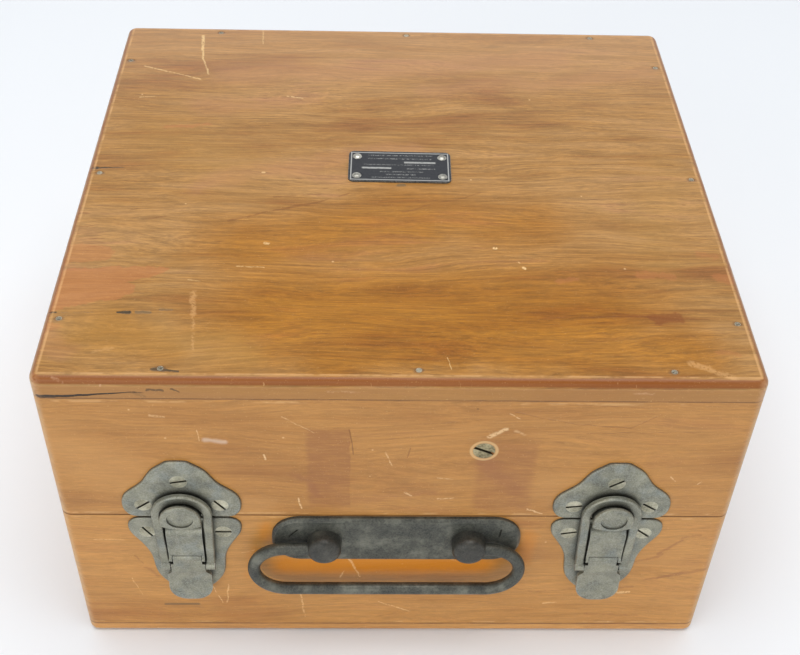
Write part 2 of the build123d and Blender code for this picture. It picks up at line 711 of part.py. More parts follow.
def lever(x):
    """Pull-down lever: knuckle on the fulcrum, waist between the loop's legs, and finger tongue."""
    fulcrum_z = FULCRUM[1]
    knuckle_top = fulcrum_z + LEVER_KNUCKLE_R
    tip_front = (LEVER_TIP_OUT, LEVER_TIP_Z)
    tip_back = (LEVER_TIP_OUT - LEVER_SHEET, LEVER_TIP_Z)
    wide_top, wide_foot = LEVER_WIDE_Z
    with BuildPart() as body:
        with BuildSketch(cross_section(x)):
            with BuildLine():
                Line((LEVER_OUT, fulcrum_z), (LEVER_OUT, LEVER_WAIST_Z))
                Spline((LEVER_OUT, LEVER_WAIST_Z), *LEVER_FACE_BEND, tip_front)
                Line(tip_front, tip_back)
                Spline(tip_back, *LEVER_BACK_BEND)
                Polyline(
                    LEVER_BACK_BEND[-1],
                    (LEVER_BACK_OUT, LEVER_WAIST_Z),
                    (LEVER_BACK_OUT, fulcrum_z),
                    (LEVER_OUT, fulcrum_z),
                )
            make_face()
            with Locations(FULCRUM):
                Circle(LEVER_KNUCKLE_R)
        extrude(amount=LEVER_HALF, both=True)
        with BuildSketch(front_face(x)):
            with BuildLine():
                Polyline(
                    (0, knuckle_top),
                    (LEVER_NECK_HALF, knuckle_top),
                    (LEVER_NECK_HALF, LEVER_NECK_Z),
                    (LEVER_WAIST_HALF, LEVER_NECK_Z),
                    (LEVER_WAIST_HALF, LEVER_WAIST_Z),
                )
                waist, widest = (LEVER_WAIST_HALF, LEVER_WAIST_Z), (LEVER_HALF, wide_top)
                Spline(waist, widest, tangents=((0, -1), (0, -1)))
                Line(widest, (LEVER_HALF, wide_foot))
                ThreePointArc((LEVER_HALF, wide_foot), LEVER_TIP_CURVE, (0, LEVER_TIP_Z))
                mirror(about=Plane.YZ)
            make_face()
        extrude(amount=2 * HOOK_OUT, mode=Mode.INTERSECT)
        with BuildSketch(cross_section(x)):
            with Locations(FULCRUM):
                Circle(FULCRUM_PIN_R + PIN_CLEARANCE)
            with Locations(LOOP_PIVOT):
                Circle(LOOP_PIN_R)
        extrude(amount=LEVER_HALF, both=True, mode=Mode.SUBTRACT)
    return body.part


def loop(x):
    """Arched loop that links the lever to the hook, with an eye at the foot of each leg."""
    pivot_z = LOOP_PIVOT[1]

    def arch(foot_half, half, top):
        """Closed outline of one leg, the arch, the other leg and the line between their feet."""
        shoulder = top - half
        Line((foot_half, pivot_z), (half, shoulder))
        ThreePointArc((half, shoulder), (0, top), (-half, shoulder))
        Polyline((-half, shoulder), (-foot_half, pivot_z), (foot_half, pivot_z))

    with BuildPart() as ring:
        with BuildSketch(front_face(x, LOOP_OUT)):
            with BuildLine():
                arch(LOOP_FOOT_HALF, LOOP_HALF, LOOP_TOP_Z)
            make_face()
            with BuildLine():
                arch(LOOP_FOOT_HALF - LOOP_BAR, LOOP_HALF - LOOP_BAR, LOOP_TOP_Z - LOOP_BAR - LOOP_CROWN)
            make_face(mode=Mode.SUBTRACT)
        extrude(amount=LOOP_THICK)
        fillet(ring.faces().sort_by(Axis.Y)[0].edges(), LOOP_EDGE_R)
        for sign in (-1, 1):
            with BuildSketch(cross_section(x + sign * (LOOP_FOOT_HALF - LOOP_BAR / 2))):
                with Locations(LOOP_PIVOT):
                    Circle(LOOP_EYE_R)
            extrude(amount=LOOP_BAR / 2, both=True)
        with BuildSketch(cross_section(x)):
            with Locations(LOOP_PIVOT):
                Circle(LOOP_PIN_R + PIN_CLEARANCE)
        extrude(amount=LOOP_HALF, both=True, mode=Mode.SUBTRACT)
    return ring.part


for side, sign in SIDES.items():
    latch_x = sign * LATCH_X
    save(bored(strike_plate(latch_x), latch_lid_holes), f"{side}_strike_plate")
    save(bored(latch_plate(latch_x), latch_base_holes), f"{side}_latch_plate")
    save(cross_pin(latch_x, FULCRUM, FULCRUM_PIN_R, BRIDGE_HALF), f"{side}_fulcrum_pin")
    save(lever(latch_x), f"{side}_lever")
    save(cross_pin(latch_x, LOOP_PIVOT, LOOP_PIN_R, LOOP_FOOT_HALF + LOOP_PIN_OVER), f"{side}_loop_pin")
    save(loop(latch_x), f"{side}_loop")
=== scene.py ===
"""Looks of a wooden instrument carrying case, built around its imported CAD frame. Metres."""

import json
import math
import random

import bmesh
import bpy
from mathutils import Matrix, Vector


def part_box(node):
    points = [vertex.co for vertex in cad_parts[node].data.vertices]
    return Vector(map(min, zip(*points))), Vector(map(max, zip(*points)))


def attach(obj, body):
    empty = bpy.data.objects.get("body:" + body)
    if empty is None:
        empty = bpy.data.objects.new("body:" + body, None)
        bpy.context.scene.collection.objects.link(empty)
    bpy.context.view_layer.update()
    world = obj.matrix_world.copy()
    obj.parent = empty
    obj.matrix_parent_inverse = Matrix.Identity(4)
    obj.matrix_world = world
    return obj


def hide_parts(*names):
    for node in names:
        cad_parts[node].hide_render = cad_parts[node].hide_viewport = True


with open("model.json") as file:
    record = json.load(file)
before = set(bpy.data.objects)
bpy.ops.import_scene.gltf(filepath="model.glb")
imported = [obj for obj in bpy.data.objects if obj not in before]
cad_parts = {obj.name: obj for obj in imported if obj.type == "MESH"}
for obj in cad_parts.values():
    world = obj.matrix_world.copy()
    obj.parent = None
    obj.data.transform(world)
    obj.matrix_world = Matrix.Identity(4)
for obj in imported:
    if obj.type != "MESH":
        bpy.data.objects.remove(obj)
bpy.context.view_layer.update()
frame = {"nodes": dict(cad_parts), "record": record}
nodes = frame["nodes"]
for imported in list(bpy.data.materials):
    bpy.data.materials.remove(imported)
scene = bpy.context.scene
scene.view_settings.view_transform = "Standard"

MM = 0.001
SIDES = ("left", "right")


def edges(node):
    """Lowest and highest corner of a CAD node, in millimetres to one decimal."""
    return [[round(c / MM, 1) for c in corner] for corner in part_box(node)]


def middle(node):
    """Centre of a CAD node's box, in millimetres to one decimal."""
    return [round((low + high) / 2, 1) for low, high in zip(*edges(node))]


# Sizes of the case in millimetres; the front is at y = -HALF_DEEP.
HALF_WIDE, HALF_DEEP, TOP_Z = edges("lid_top")[1]
ROOF_Z = edges("lid_front")[1][2]
SEAM_Z = (edges("base_front")[1][2] + edges("lid_front")[0][2]) / 2
FLOOR_BOARD = edges("base_bottom")[1][2]
LATCH_X = middle("right_lever")[0]


def srgb(r, g, b):
    """Scene colour of an 8-bit display colour."""
    parts = [c / 255 for c in (r, g, b)]
    return tuple(((c + 0.055) / 1.055) ** 2.4 if c > 0.04 else c / 12.92 for c in parts) + (1.0,)


def shades(*colours):
    """Scene colours of several 8-bit display colours."""
    return [srgb(*colour) for colour in colours]


# ---- Node building ----
class Graph:
    """A node tree with one short call for each kind of node."""

    def __init__(self, name, tree=None):
        if tree is None:
            self.material = bpy.data.materials.new(name)
            self.material.use_nodes = True
            tree = self.material.node_tree
            tree.nodes.clear()
        self.tree = tree

    def add(self, kind, *inputs, **settings):
        node = self.tree.nodes.new(kind)
        for key, value in settings.items():
            setattr(node, key, value)
        for socket, value in zip(node.inputs, inputs):
            self.feed(socket, value)
        return node

    def feed(self, socket, value):
        if isinstance(value, bpy.types.NodeSocket):
            self.tree.links.new(value, socket)
        elif value is not None:
            socket.default_value = value

    def math(self, operation, a, b=0.0, c=0.0):
        return self.add("ShaderNodeMath", a, b, c, operation=operation).outputs[0]

    def times(self, a, b):
        return self.math("MULTIPLY", a, b)

    def vector(self, operation, a, b=(0, 0, 0)):
        return self.add("ShaderNodeVectorMath", a, b, operation=operation).outputs[0]

    def length(self, a):
        return self.add("ShaderNodeVectorMath", a, operation="LENGTH").outputs["Value"]

    def scaled(self, a, factor):
        node = self.add("ShaderNodeVectorMath", a, operation="SCALE")
        self.feed(node.inputs["Scale"], factor)
        return node.outputs[0]

    def split(self, vector):
        return self.add("ShaderNodeSeparateXYZ", vector).outputs

    def join(self, x, y, z):
        return self.add("ShaderNodeCombineXYZ", x, y, z).outputs[0]

    def mapped(self, at, size, offset=0.0, turn=0.0):
        """Position turned by an angle in degrees and divided by a size, one for all axes or one each."""
        node = self.add("ShaderNodeMapping", at, vector_type="TEXTURE")
        size = (size, size, size) if isinstance(size, (int, float)) else size
        shifts = [part * offset * share for part, share in zip(size, (1.0, 1.7, 0.6))]
        node.inputs["Location"].default_value = shifts
        node.inputs["Rotation"].default_value = [math.radians(turn)] * 3
        node.inputs["Scale"].default_value = size
        return node.outputs[0]

    def noise(self, at, size, detail=3.0, rough=0.5, offset=0.0, turn=0.0, out="Fac"):
        """Noise whose features have the given size in millimetres."""
        node = self.add("ShaderNodeTexNoise", self.mapped(at, size, offset, turn))
        node.inputs["Scale"].default_value = 1.0
        node.inputs["Detail"].default_value = detail
        node.inputs["Roughness"].default_value = rough
        return node.outputs[out]

    def smooth(self, value, low, high, to_low=0.0, to_high=1.0):
        node = self.add("ShaderNodeMapRange", value, low, high, to_low, to_high)
        node.interpolation_type = "SMOOTHSTEP"
        node.clamp = False
        return node.outputs[0]

    def ramp(self, value, stops):
        node = self.add("ShaderNodeValToRGB", value)
        points = node.color_ramp.elements
        while len(points) < len(stops):
            points.new(0.5)
        for point, (place, colour) in zip(points, stops):
            point.position = place
            point.color = colour
        return node.outputs["Color"]

    def mix(self, amount, a, b, blend="MIX"):
        node = self.add("ShaderNodeMix", data_type="RGBA", blend_type=blend)
        self.feed(node.inputs[0], amount)
        self.feed(node.inputs[6], a)
        self.feed(node.inputs[7], b)
        return node.outputs[2]

    def most(self, values):
        best = values[0]
        for value in values[1:]:
            best = self.math("MAXIMUM", best, value)
        return best

    def place(self):
        """Row-frame position in millimetres."""
        return self.mapped(self.add("ShaderNodeTexCoord").outputs["Object"], MM)

    def surface(self, colour, rough, height=None, lift=0.0001, **sockets):
        """Principled surface with an optional height in units of lift."""
        node = self.add("ShaderNodeBsdfPrincipled")
        self.feed(node.inputs["Base Color"], colour)
        self.feed(node.inputs["Roughness"], rough)
        for name, value in sockets.items():
            self.feed(node.inputs[name.replace("_", " ")], value)
        if height is not None:
            bump = self.add("ShaderNodeBump")
            bump.inputs["Strength"].default_value = 1.0
            bump.inputs["Distance"].default_value = lift
            self.feed(bump.inputs["Height"], height)
            self.feed(node.inputs["Normal"], bump.outputs[0])
        out = self.add("ShaderNodeOutputMaterial")
        self.feed(out.inputs["Surface"], node.outputs[0])
        return self.material


def make_mark_group():
    """Node group: mask of a tapered stroke from A to B, or the mask before it where that is more."""
    tree = bpy.data.node_groups.new("mark", "ShaderNodeTree")
    face = tree.interface
    for name in ("P", "A", "B"):
        face.new_socket(name, in_out="INPUT", socket_type="NodeSocketVector")
    for name in ("Wide A", "Wide B", "Soft", "Amount", "Before"):
        face.new_socket(name, in_out="INPUT", socket_type="NodeSocketFloat")
    face.new_socket("Mask", in_out="OUTPUT", socket_type="NodeSocketFloat")
    g = Graph("mark", tree)
    given = g.add("NodeGroupInput").outputs
    along = g.vector("SUBTRACT", given["B"], given["A"])
    out = g.vector("SUBTRACT", given["P"], given["A"])
    dots = [
        g.add("ShaderNodeVectorMath", a, b, operation="DOT_PRODUCT").outputs["Value"]
        for a, b in ((out, along), (along, along))
    ]
    share = g.math("MINIMUM", g.math("MAXIMUM", g.math("DIVIDE", dots[0], dots[1]), 0.0), 1.0)
    off = g.length(g.vector("SUBTRACT", out, g.scaled(along, share)))
    change = g.math("SUBTRACT", given["Wide B"], given["Wide A"])
    wide = g.math("MULTIPLY_ADD", share, change, given["Wide A"])
    depth = g.math("DIVIDE", off, wide)
    mask = g.smooth(depth, 1.0, g.math("SUBTRACT", 1.0, given["Soft"]), 0.0, given["Amount"])
    mask = g.math("MAXIMUM", mask, given["Before"])
    result = g.add("NodeGroupOutput")
    g.feed(result.inputs["Mask"], mask)
    return tree


MARK = make_mark_group()


def stroke(g, at, a, b, wide_a, wide_b, soft, amount, before):
    """Mask of one stroke, its ends in millimetres in the row frame, over the strokes before it."""
    node = g.add("ShaderNodeGroup")
    node.node_tree = MARK
    for socket, value in zip(node.inputs, (at, a, b, wide_a, wide_b, soft, amount, before)):
        g.feed(socket, value)
    return node.outputs[0]


def warped(g, at, reach, size, seed):
    """The position pushed about by noise of the given size, so that masks get uneven outlines."""
    push = g.vector("SUBTRACT", g.noise(at, size, 3, 0.6, seed, out="Color"), (0.5, 0.5, 0.5))
    return g.vector("ADD", at, g.scaled(push, reach))


def hairlines(g, at, turn, seed, long=16.0, thin=0.35, least=0.70):
    """Sparse thin scratches that run at an angle in degrees on every face."""
    return g.smooth(g.noise(at, (long, thin, thin), 1.0, 0.4, seed, turn), least, least + 0.05)


def between(g, value, low_end, high_end):
    """Mask between two soft ends, each given as where it is 0 and where it is 1."""
    return g.times(g.smooth(value, *low_end), g.smooth(value, *high_end))


def specks(g, at, spacing, radius, seed, share=0.4):
    """Scattered small dents."""
    node = g.add("ShaderNodeTexVoronoi", g.mapped(at, spacing, seed))
    node.inputs["Scale"].default_value = 1.0
    picked = g.smooth(g.split(node.outputs["Color"])[0], share, share - 0.02)
    inside = g.smooth(node.outputs["Distance"], radius / spacing, radius / spacing * 0.4)
    return g.times(picked, inside)


# ---- Wood ----
PALE = srgb(226, 184, 128)
DARK = srgb(60, 42, 26)
DASH = srgb(120, 74, 34)
TONE_STEPS = (0.33, 0.45, 0.56, 0.68)
NOWHERE = 400.0  # a level above the case, for a board with no joint on that side


def wood(name, tones, seed, along="x", strength=1.0, dry=False):
    """Start of a board's material: its graph, position, colour and height, and noises to build on."""
    g = Graph(name)
    at = g.place()

    def fibre(long, thin):
        return (long, thin, thin) if along == "x" else (thin, long, thin)

    xyz = g.split(at)
    sway = g.vector("SUBTRACT", g.noise(at, fibre(150, 42), 2, 0.5, seed, out="Color"), (0.5, 0.5, 0.5))
    bent = g.vector("ADD", at, g.vector("MULTIPLY", sway, fibre(0, 26)))
    cloud = g.noise(bent, fibre(85, 30), 3, 0.55, seed + 3.0)
    band = g.noise(bent, fibre(120, 5.5), 4, 0.6, seed + 9.0)
    streak = g.noise(bent, fibre(34, 1.3), 4, 0.65, seed + 14.0)
    fleck = g.noise(bent, fibre(4.2, 0.42), 2, 0.5, seed + 21.0)
    dash = g.noise(bent, fibre(11, 0.8), 2, 0.55, seed + 33.0)
    tone = g.math("ADD", g.times(cloud, 0.62), g.times(band, 0.38))
    colour = g.ramp(tone, list(zip(TONE_STEPS, tones)))
    shade = g.smooth(streak, 0.28, 0.72, 1.0 - 0.17 * strength, 1.0 + 0.14 * strength)
    flecks = g.smooth(fleck, 0.3, 0.68, 1.0 + 0.05 * strength, 1.0 - 0.10 * strength)
    shade = g.times(shade, flecks)
    colour = g.mix(1.0, colour, g.join(shade, shade, shade), "MULTIPLY")
    dashes = g.times(g.smooth(dash, 0.62, 0.74), g.smooth(cloud, 0.40, 0.56))
    colour = g.mix(g.times(dashes, 0.34 * strength), colour, DASH)
    height = g.math("ADD", g.times(streak, 0.25), g.times(fleck, 0.14))
    height = g.math("SUBTRACT", height, g.times(dashes, 0.12))
    return {
        "g": g,
        "at": at,
        "xyz": xyz,
        "colour": colour,
        "height": height,
        "cloud": cloud,
        "band": band,
        "streak": streak,
        "seed": seed,
        "dry": dry,
    }


def tint(w, mask, amount, colour, blend="MIX"):
    """Lay a colour over the board where the mask is."""
    g = w["g"]
    w["colour"] = g.mix(g.times(mask, amount), w["colour"], colour, blend)


def dent(w, mask, depth):
    """Sink the surface where the mask is, in tenths of a millimetre; negative raises it."""
    g = w["g"]
    w["height"] = g.math("SUBTRACT", w["height"], g.times(mask, depth))


def strokes(w, at, places, fade=None):
    """Mask of several strokes; each is (a, b, wide_a, wide_b, soft, amount)."""
    g = w["g"]
    mask = 0.0
    for a, b, wide_a, wide_b, soft, amount in places:
        mask = stroke(g, at, a, b, wide_a, wide_b, soft, amount, mask)
    return g.times(mask, fade) if fade is not None else mask


def finish_wood(w, wear=1.0):
    """Common wear of every varnished board, then its surface."""
    g, at, seed = w["g"], w["at"], w["seed"]
    hairs = g.most([hairlines(g, at, turn, seed + turn, least=0.735) for turn in (24, 67, 112)])
    tint(w, hairs, 0.42 * wear, PALE)
    dents = specks(g, at, 17.0, 0.75, seed)
    tint(w, dents, 0.6 * wear, PALE)
    dent(w, dents, 0.8)
    nicks = specks(g, at, 31.0, 0.6, seed + 5.0, 0.5)
    tint(w, nicks, 0.55 * wear, DARK)
    rough = g.smooth(w["cloud"], 0.3, 0.7, 0.34, 0.46)
    rough = g.math("ADD", rough, g.times(w["streak"], 0.08))
    rough = g.math("MAXIMUM", rough, g.times(g.most([hairs, dents]), 0.62))
    shine = 0.0 if w["dry"] else 0.1
    return g.surface(
        w["colour"], rough, w["height"], Specular_IOR_Level=0.35, Coat_Weight=shine, Coat_Roughness=0.3
    )


def rim_distance(w):
    """Distance in millimetres from the nearest side in plan, from left or right, and from front or back."""
    g = w["g"]
    x, y, _ = w["xyz"]
    wide = g.math("SUBTRACT", HALF_WIDE, g.math("ABSOLUTE", x))
    deep = g.math("SUBTRACT", HALF_DEEP, g.math("ABSOLUTE", y))
    return g.math("MINIMUM", wide, deep), wide, deep


def near(g, value, centre, reach):
    """Soft line mask where value is within reach of centre."""
    return g.smooth(g.math("ABSOLUTE", g.math("SUBTRACT", value, centre)), reach, reach * 0.3)


TOP_TONES = shades((146, 95, 44), (165, 119, 60), (177, 132, 76), (170, 119, 80))
LID_TONES = shades((158, 104, 48), (174, 120, 58), (184, 130, 66), (173, 118, 62))
BASE_TONES = shades((168, 110, 50), (182, 127, 62), (192, 137, 71), (180, 123, 64))
BOTTOM_TONES = shades((182, 126, 66), (196, 140, 76), (206, 150, 84), (192, 136, 76))
INNER_TONES = shades((176, 142, 100), (192, 158, 114), (204, 172, 128), (192, 156, 118))

# Brads through the top board, three along each side.
BRAD_STEP = 106
BRAD_INSET = 6.6
BRAD_X = [7 + step * BRAD_STEP for step in (-1, 0, 1)]
BRAD_Y = [-1 + step * BRAD_STEP for step in (-1, 0, 1)]
BRADS = [(x, s * (HALF_DEEP - BRAD_INSET)) for x in BRAD_X for s in (-1, 1)]
BRADS += [(s * (HALF_WIDE - BRAD_INSET), y) for y in BRAD_Y for s in (-1, 1)]


def wood_of_top():
    """The weathered top board with its patches, scratches, gouges and worn edges, and a painted sheen
    paling its back.
    """
    w = wood("varnished_wood_top", TOP_TONES, 1.0, strength=1.5)
    g, at = w["g"], w["at"]
    _, y, z = w["xyz"]
    blur = warped(g, at, 26.0, 34.0, 2.0)
    t = TOP_Z
    glow = strokes(w, blur, [
        ((-50, -100, t), (80, -104, t), 62, 66, 0.9, 1.0),
        ((-30, -126, t), (120, -124, t), 28, 28, 0.9, 0.9),
        ((-70, -60, t), (10, -36, t), 40, 40, 0.95, 0.9),
        ((0, -30, t), (60, -40, t), 44, 38, 0.95, 0.8),
        ((-125, -110, t), (-100, -126, t), 26, 20, 0.95, 0.5),
    ])
    tint(w, glow, 0.95, (0.88, 0.66, 0.08, 1.0), "MULTIPLY")
    pink = strokes(w, blur, [
        ((-95, -6, t), (10, 24, t), 12, 9, 0.9, 0.8),
        ((-90, 92, t), (90, 112, t), 18, 16, 0.9, 0.7),
        ((-100, 60, t), (-40, 66, t), 12, 8, 0.9, 0.7),
        ((20, 78, t), (140, 96, t), 12, 14, 0.9, 0.6),
        ((-150, -118, t), (-140, -126, t), 12, 10, 0.7, 0.6),
    ])
    tint(w, pink, 0.45, srgb(176, 122, 84))
    # Painted sheen: the back of the top is tinted paler and greyer, standing in for the glossy reflection
    # there.
    tint(w, g.smooth(y, 40.0, 150.0), 0.24, srgb(202, 160, 126))
    green = strokes(w, blur, [
        ((-130, -112, t), (-70, -126, t), 22, 18, 0.9, 0.8),
        ((-120, 30, t), (-80, 6, t), 30, 22, 0.9, 0.5),
        ((118, -60, t), (134, 10, t), 22, 20, 0.9, 0.4),
    ])
    tint(w, green, 0.45, srgb(168, 124, 52))
    rough_edge = warped(g, warped(g, at, 9.0, 11.0, 4.0), 3.0, 2.6, 5.0)
    red = strokes(w, rough_edge, [
        ((-160, -86, t), (-104, -73, t), 13, 1.5, 0.12, 1.0),
        ((-160, -93, t), (-122, -88, t), 12, 6, 0.12, 1.0),
        ((-160, -64, t), (-135, -62, t), 9, 6, 0.2, 0.75),
        ((-160, -112, t), (-146, -112, t), 6, 3, 0.4, 0.6),
        ((109, -75, t), (124, -76, t), 3, 2.5, 0.5, 0.7),
        ((72, -80, t), (80, -78, t), 3, 1.5, 0.5, 0.7),
        ((139, -60, t), (145, -62, t), 3, 2.5, 0.6, 0.6),
        ((142, -76, t), (150, -78, t), 3, 4, 0.6, 0.8),
        ((134, -125, t), (141, -126, t), 2.6, 2.6, 0.6, 0.5),
        ((-120, 40, t), (-96, 41, t), 2.6, 2, 0.9, 0.9),
    ])
    tint(w, red, 0.55, srgb(180, 112, 62))
    knot = strokes(w, rough_edge, [((112, -104, t), (120, -104, t), 4.5, 4, 0.4, 1.0)])
    tint(w, knot, 0.65, srgb(126, 68, 22))
    veins = strokes(w, warped(g, at, 5.0, 14.0, 7.0), [
        ((-150, -14, t), (-143, -15, t), 0.9, 0.3, 0.8, 0.9),
        ((-150, -24, t), (-138, -24, t), 0.8, 0.3, 0.8, 0.9),
        ((-151, -34, t), (-140, -33, t), 0.9, 0.3, 0.8, 0.8),
        ((-151, -44, t), (-138, -42, t), 0.8, 0.3, 0.8, 0.8),
        ((-152, -50, t), (-144, -49, t), 0.8, 0.3, 0.8, 0.8),
        ((-127, -30, t), (-122, -29, t), 1.0, 0.4, 0.8, 0.8),
        ((-118, -37, t), (-109, -36, t), 1.2, 0.5, 0.8, 0.7),
        ((-80, -38, t), (-52, -28, t), 1.3, 0.8, 0.8, 0.9),
        ((-52, -28, t), (-20, -14, t), 1.4, 0.6, 0.9, 0.9),
        ((-60, -19, t), (-36, -16, t), 1.0, 0.4, 0.9, 0.8),
        ((2, -30, t), (40, -14, t), 1.2, 0.6, 0.9, 0.6),
        ((-4, -60, t), (10, -58, t), 0.9, 0.4, 0.9, 0.6),
        ((60, -104, t), (108, -103, t), 1.2, 0.8, 0.9, 0.7),
        ((124, -104, t), (134, -104, t), 1.0, 0.5, 0.9, 0.8),
    ])
    tint(w, veins, 0.6, srgb(116, 66, 26))

    broken = g.smooth(g.noise(at, 1.6, 3, 0.7, 8.0), 0.34, 0.52)
    pale = strokes(w, warped(g, at, 1.6, 5.0, 6.0), [
        ((-109, 132.7, t), (-106.6, 108.5, t), 1.5, 0.8, 0.7, 1.0),
        ((-106.6, 108.5, t), (-101.6, 91.7, t), 0.8, 0.7, 0.8, 0.9),
        ((-137.3, 99.1, t), (-114.5, 90.3, t), 0.9, 0.5, 0.8, 0.8),
        ((-114.5, 90.3, t), (-105.9, 86.5, t), 0.5, 1.0, 0.8, 0.8),
        ((-75.4, 140.5, t), (-74.4, 124.7, t), 0.8, 0.5, 0.8, 0.6),
        ((-57.5, 70.6, t), (-49.4, 68.8, t), 0.9, 0.6, 0.8, 0.8),
        ((-135.7, 67.6, t), (-126.9, 68.8, t), 0.7, 0.4, 0.8, 0.6),
        ((-73, -71.2, t), (-60.9, -71.8, t), 0.6, 0.5, 0.8, 0.7),
        ((18.9, -129, t), (20.6, -136.1, t), 0.4, 0.3, 0.8, 0.7),
        ((-94, -81, t), (-88, -82, t), 0.5, 0.3, 0.8, 0.6),
        ((-66.5, 1, t), (-65.5, 1, t), 0.8, 0.8, 0.5, 0.9),
        ((-61.4, -54.4, t), (-60.2, -54.7, t), 1.3, 1.1, 0.6, 1.0),
        ((43.8, -56.5, t), (44.6, -56.5, t), 1.0, 0.9, 0.4, 1.4),
        ((56.0, -70.4, t), (56.8, -71.0, t), 1.1, 0.8, 0.5, 1.2),
        ((54.4, -66.6, t), (54.8, -67, t), 0.6, 0.5, 0.5, 0.8),
    ], broken)
    tint(w, pale, 0.75, srgb(232, 196, 138))
    smear = strokes(w, warped(g, at, 4.0, 4.0, 12.0), [
        ((-90.8, -89.3, t), (-89, -104, t), 2.0, 1.6, 0.8, 0.8),
        ((-89.5, -104, t), (-86.8, -125.9, t), 1.0, 0.7, 0.8, 0.7),
        ((121, -131.6, t), (137.4, -140.1, t), 2.6, 2.0, 0.7, 0.8),
        ((-128, -127, t), (-120, -125, t), 1.4, 1.0, 0.7, 0.5),
    ], broken)
    tint(w, smear, 0.5, srgb(222, 172, 112))
    cuts = strokes(w, warped(g, at, 1.2, 2.4, 13.0), [
        ((-152.5, 2.6, t), (-147.5, 3.1, t), 0.7, 1.2, 0.5, 1.0),
        ((-147.5, 3.1, t), (-134.2, 3.9, t), 0.8, 0.15, 0.7, 0.9),
        ((-152.8, -103.2, t), (-147.7, -103.1, t), 0.9, 0.6, 0.5, 1.0),
        ((-121.8, -102.7, t), (-116.7, -102.7, t), 0.5, 1.3, 0.5, 1.0),
        ((-101.9, -137.3, t), (-91.6, -138.4, t), 1.3, 0.6, 0.6, 0.9),
    ])
    tint(w, cuts, 0.92, srgb(58, 50, 34))
    dent(w, cuts, 5.0)
    faint = strokes(w, warped(g, at, 2.4, 2.6, 14.0), [
        ((-113.3, -102.6, t), (-107.7, -102.6, t), 1.2, 1.0, 0.6, 1.0),
        ((-103.7, -101, t), (-98.6, -100.5, t), 0.9, 0.7, 0.6, 0.6),
        ((-147.0, -103.1, t), (-132, -103, t), 0.4, 0.3, 0.6, 0.5),
        ((0.2, -8.4, t), (3.2, -8.4, t), 1.2, 1.2, 0.5, 1.0),
    ])
    tint(w, faint, 0.6, srgb(98, 88, 66))
    dent(w, faint, 2.0)

    rim, wide, deep = rim_distance(w)
    worn = g.smooth(g.noise(at, (9, 9, 2), 3, 0.6, 17.0), 0.34, 0.58)
    band = between(g, z, (175.2, 176.2), (TOP_Z - 0.05, TOP_Z - 0.35))
    tint(w, band, 0.9, srgb(132, 70, 6))
    streaky = g.noise(at, (40, 1, 0.625), 3, 0.6, 19.0)
    tint(w, g.times(band, g.smooth(streaky, 0.5, 0.64)), 0.4, srgb(132, 78, 36))
    arris = g.times(near(g, rim, 3.5, 0.75), g.smooth(z, TOP_Z - 1.0, TOP_Z - 0.4))
    foot = g.times(near(g, z, 174.4, 0.6), g.smooth(rim, 3.0, 1.0))
    lines = g.times(g.most([arris, foot]), g.smooth(worn, 0.0, 1.0, 0.25, 1.0))
    tint(w, lines, 0.46, srgb(222, 172, 116))
    below = g.smooth(z, 175.0, 174.4)
    tint(w, below, 0.75, srgb(168, 118, 60))
    tint(w, g.times(below, g.smooth(w["band"], 0.42, 0.62)), 0.3, srgb(156, 106, 58))
    joint = g.times(near(g, z, ROOF_Z, 0.55), g.smooth(worn, 0, 1, 0.45, 1.0))
    joint = g.times(joint, g.smooth(rim, 4.0, 2.0))
    tint(w, joint, 0.8, srgb(96, 60, 32))
    y_front = -HALF_DEEP
    crack = strokes(w, warped(g, at, 0.9, 6.0, 15.0), [
        ((-152.4, y_front, 168.4), (-137, y_front, 168.9), 0.85, 0.75, 0.35, 1.0),
        ((-137, y_front, 168.9), (-109, y_front, 171.4), 0.75, 0.2, 0.4, 1.0),
        ((-110, y_front, 171.2), (-104, y_front, 170.8), 0.25, 0.1, 0.4, 0.8),
    ])
    tint(w, crack, 0.96, srgb(36, 24, 14))
    dent(w, crack, 8.0)
    stain = strokes(w, warped(g, at, 2.0, 3.0, 16.0), [
        ((-153, y_front, 167.4), (-143, y_front, 168), 1.8, 1.4, 0.6, 0.8),
        ((-104.4, y_front, 172.7), (-98.0, y_front, 172.5), 0.8, 0.9, 0.5, 1.0),
        ((-94.4, y_front, 173.3), (-91.3, y_front, 171.6), 0.7, 0.5, 0.5, 1.0),
        ((-112, y_front, 171.6), (-106, y_front, 169.2), 1.0, 1.2, 0.8, 0.4),
    ])
    tint(w, stain, 0.72, srgb(70, 52, 34))
    chalk = strokes(w, warped(g, at, 3.0, 3.0, 18.0), [
        ((-30, y_front - 1, 172.6), (-16, y_front - 1, 172.0), 1.5, 1.2, 0.9, 0.8),
        ((-142, -141.5, 177), (-138, -142.5, 176), 1.4, 1.2, 0.8, 0.9),
        ((-127, -141.5, 177), (-127, -143, 175.4), 0.7, 0.7, 0.6, 1.0),
        ((-123, -141.5, 177), (-123, -143, 175.0), 0.8, 0.8, 0.6, 1.0),
        ((96, y_front, 172.5), (104, y_front, 172.5), 1.0, 0.6, 0.9, 0.4),
    ], broken)
    tint(w, chalk, 0.6, srgb(226, 184, 146))

    rings = [((x - 0.6, y, t), (x + 0.9, y, t), 2.5, 2.0, 0.75, 0.9) for x, y in BRADS]
    ring = strokes(w, warped(g, at, 1.4, 2.2, 20.0), rings)
    tint(w, ring, 0.72, srgb(96, 68, 42))
    dent(w, ring, 2.0)
    corner = g.times(g.smooth(wide, 6.0, 1.0), g.smooth(deep, 6.0, 1.0))
    tint(w, g.times(corner, broken), 0.5, srgb(206, 160, 116))
    ends = g.times(g.smooth(wide, 2.4, 0.4), g.smooth(worn, 0, 1, 0.4, 1.0))
    tint(w, ends, 0.45, srgb(196, 176, 136))
    return finish_wood(w)


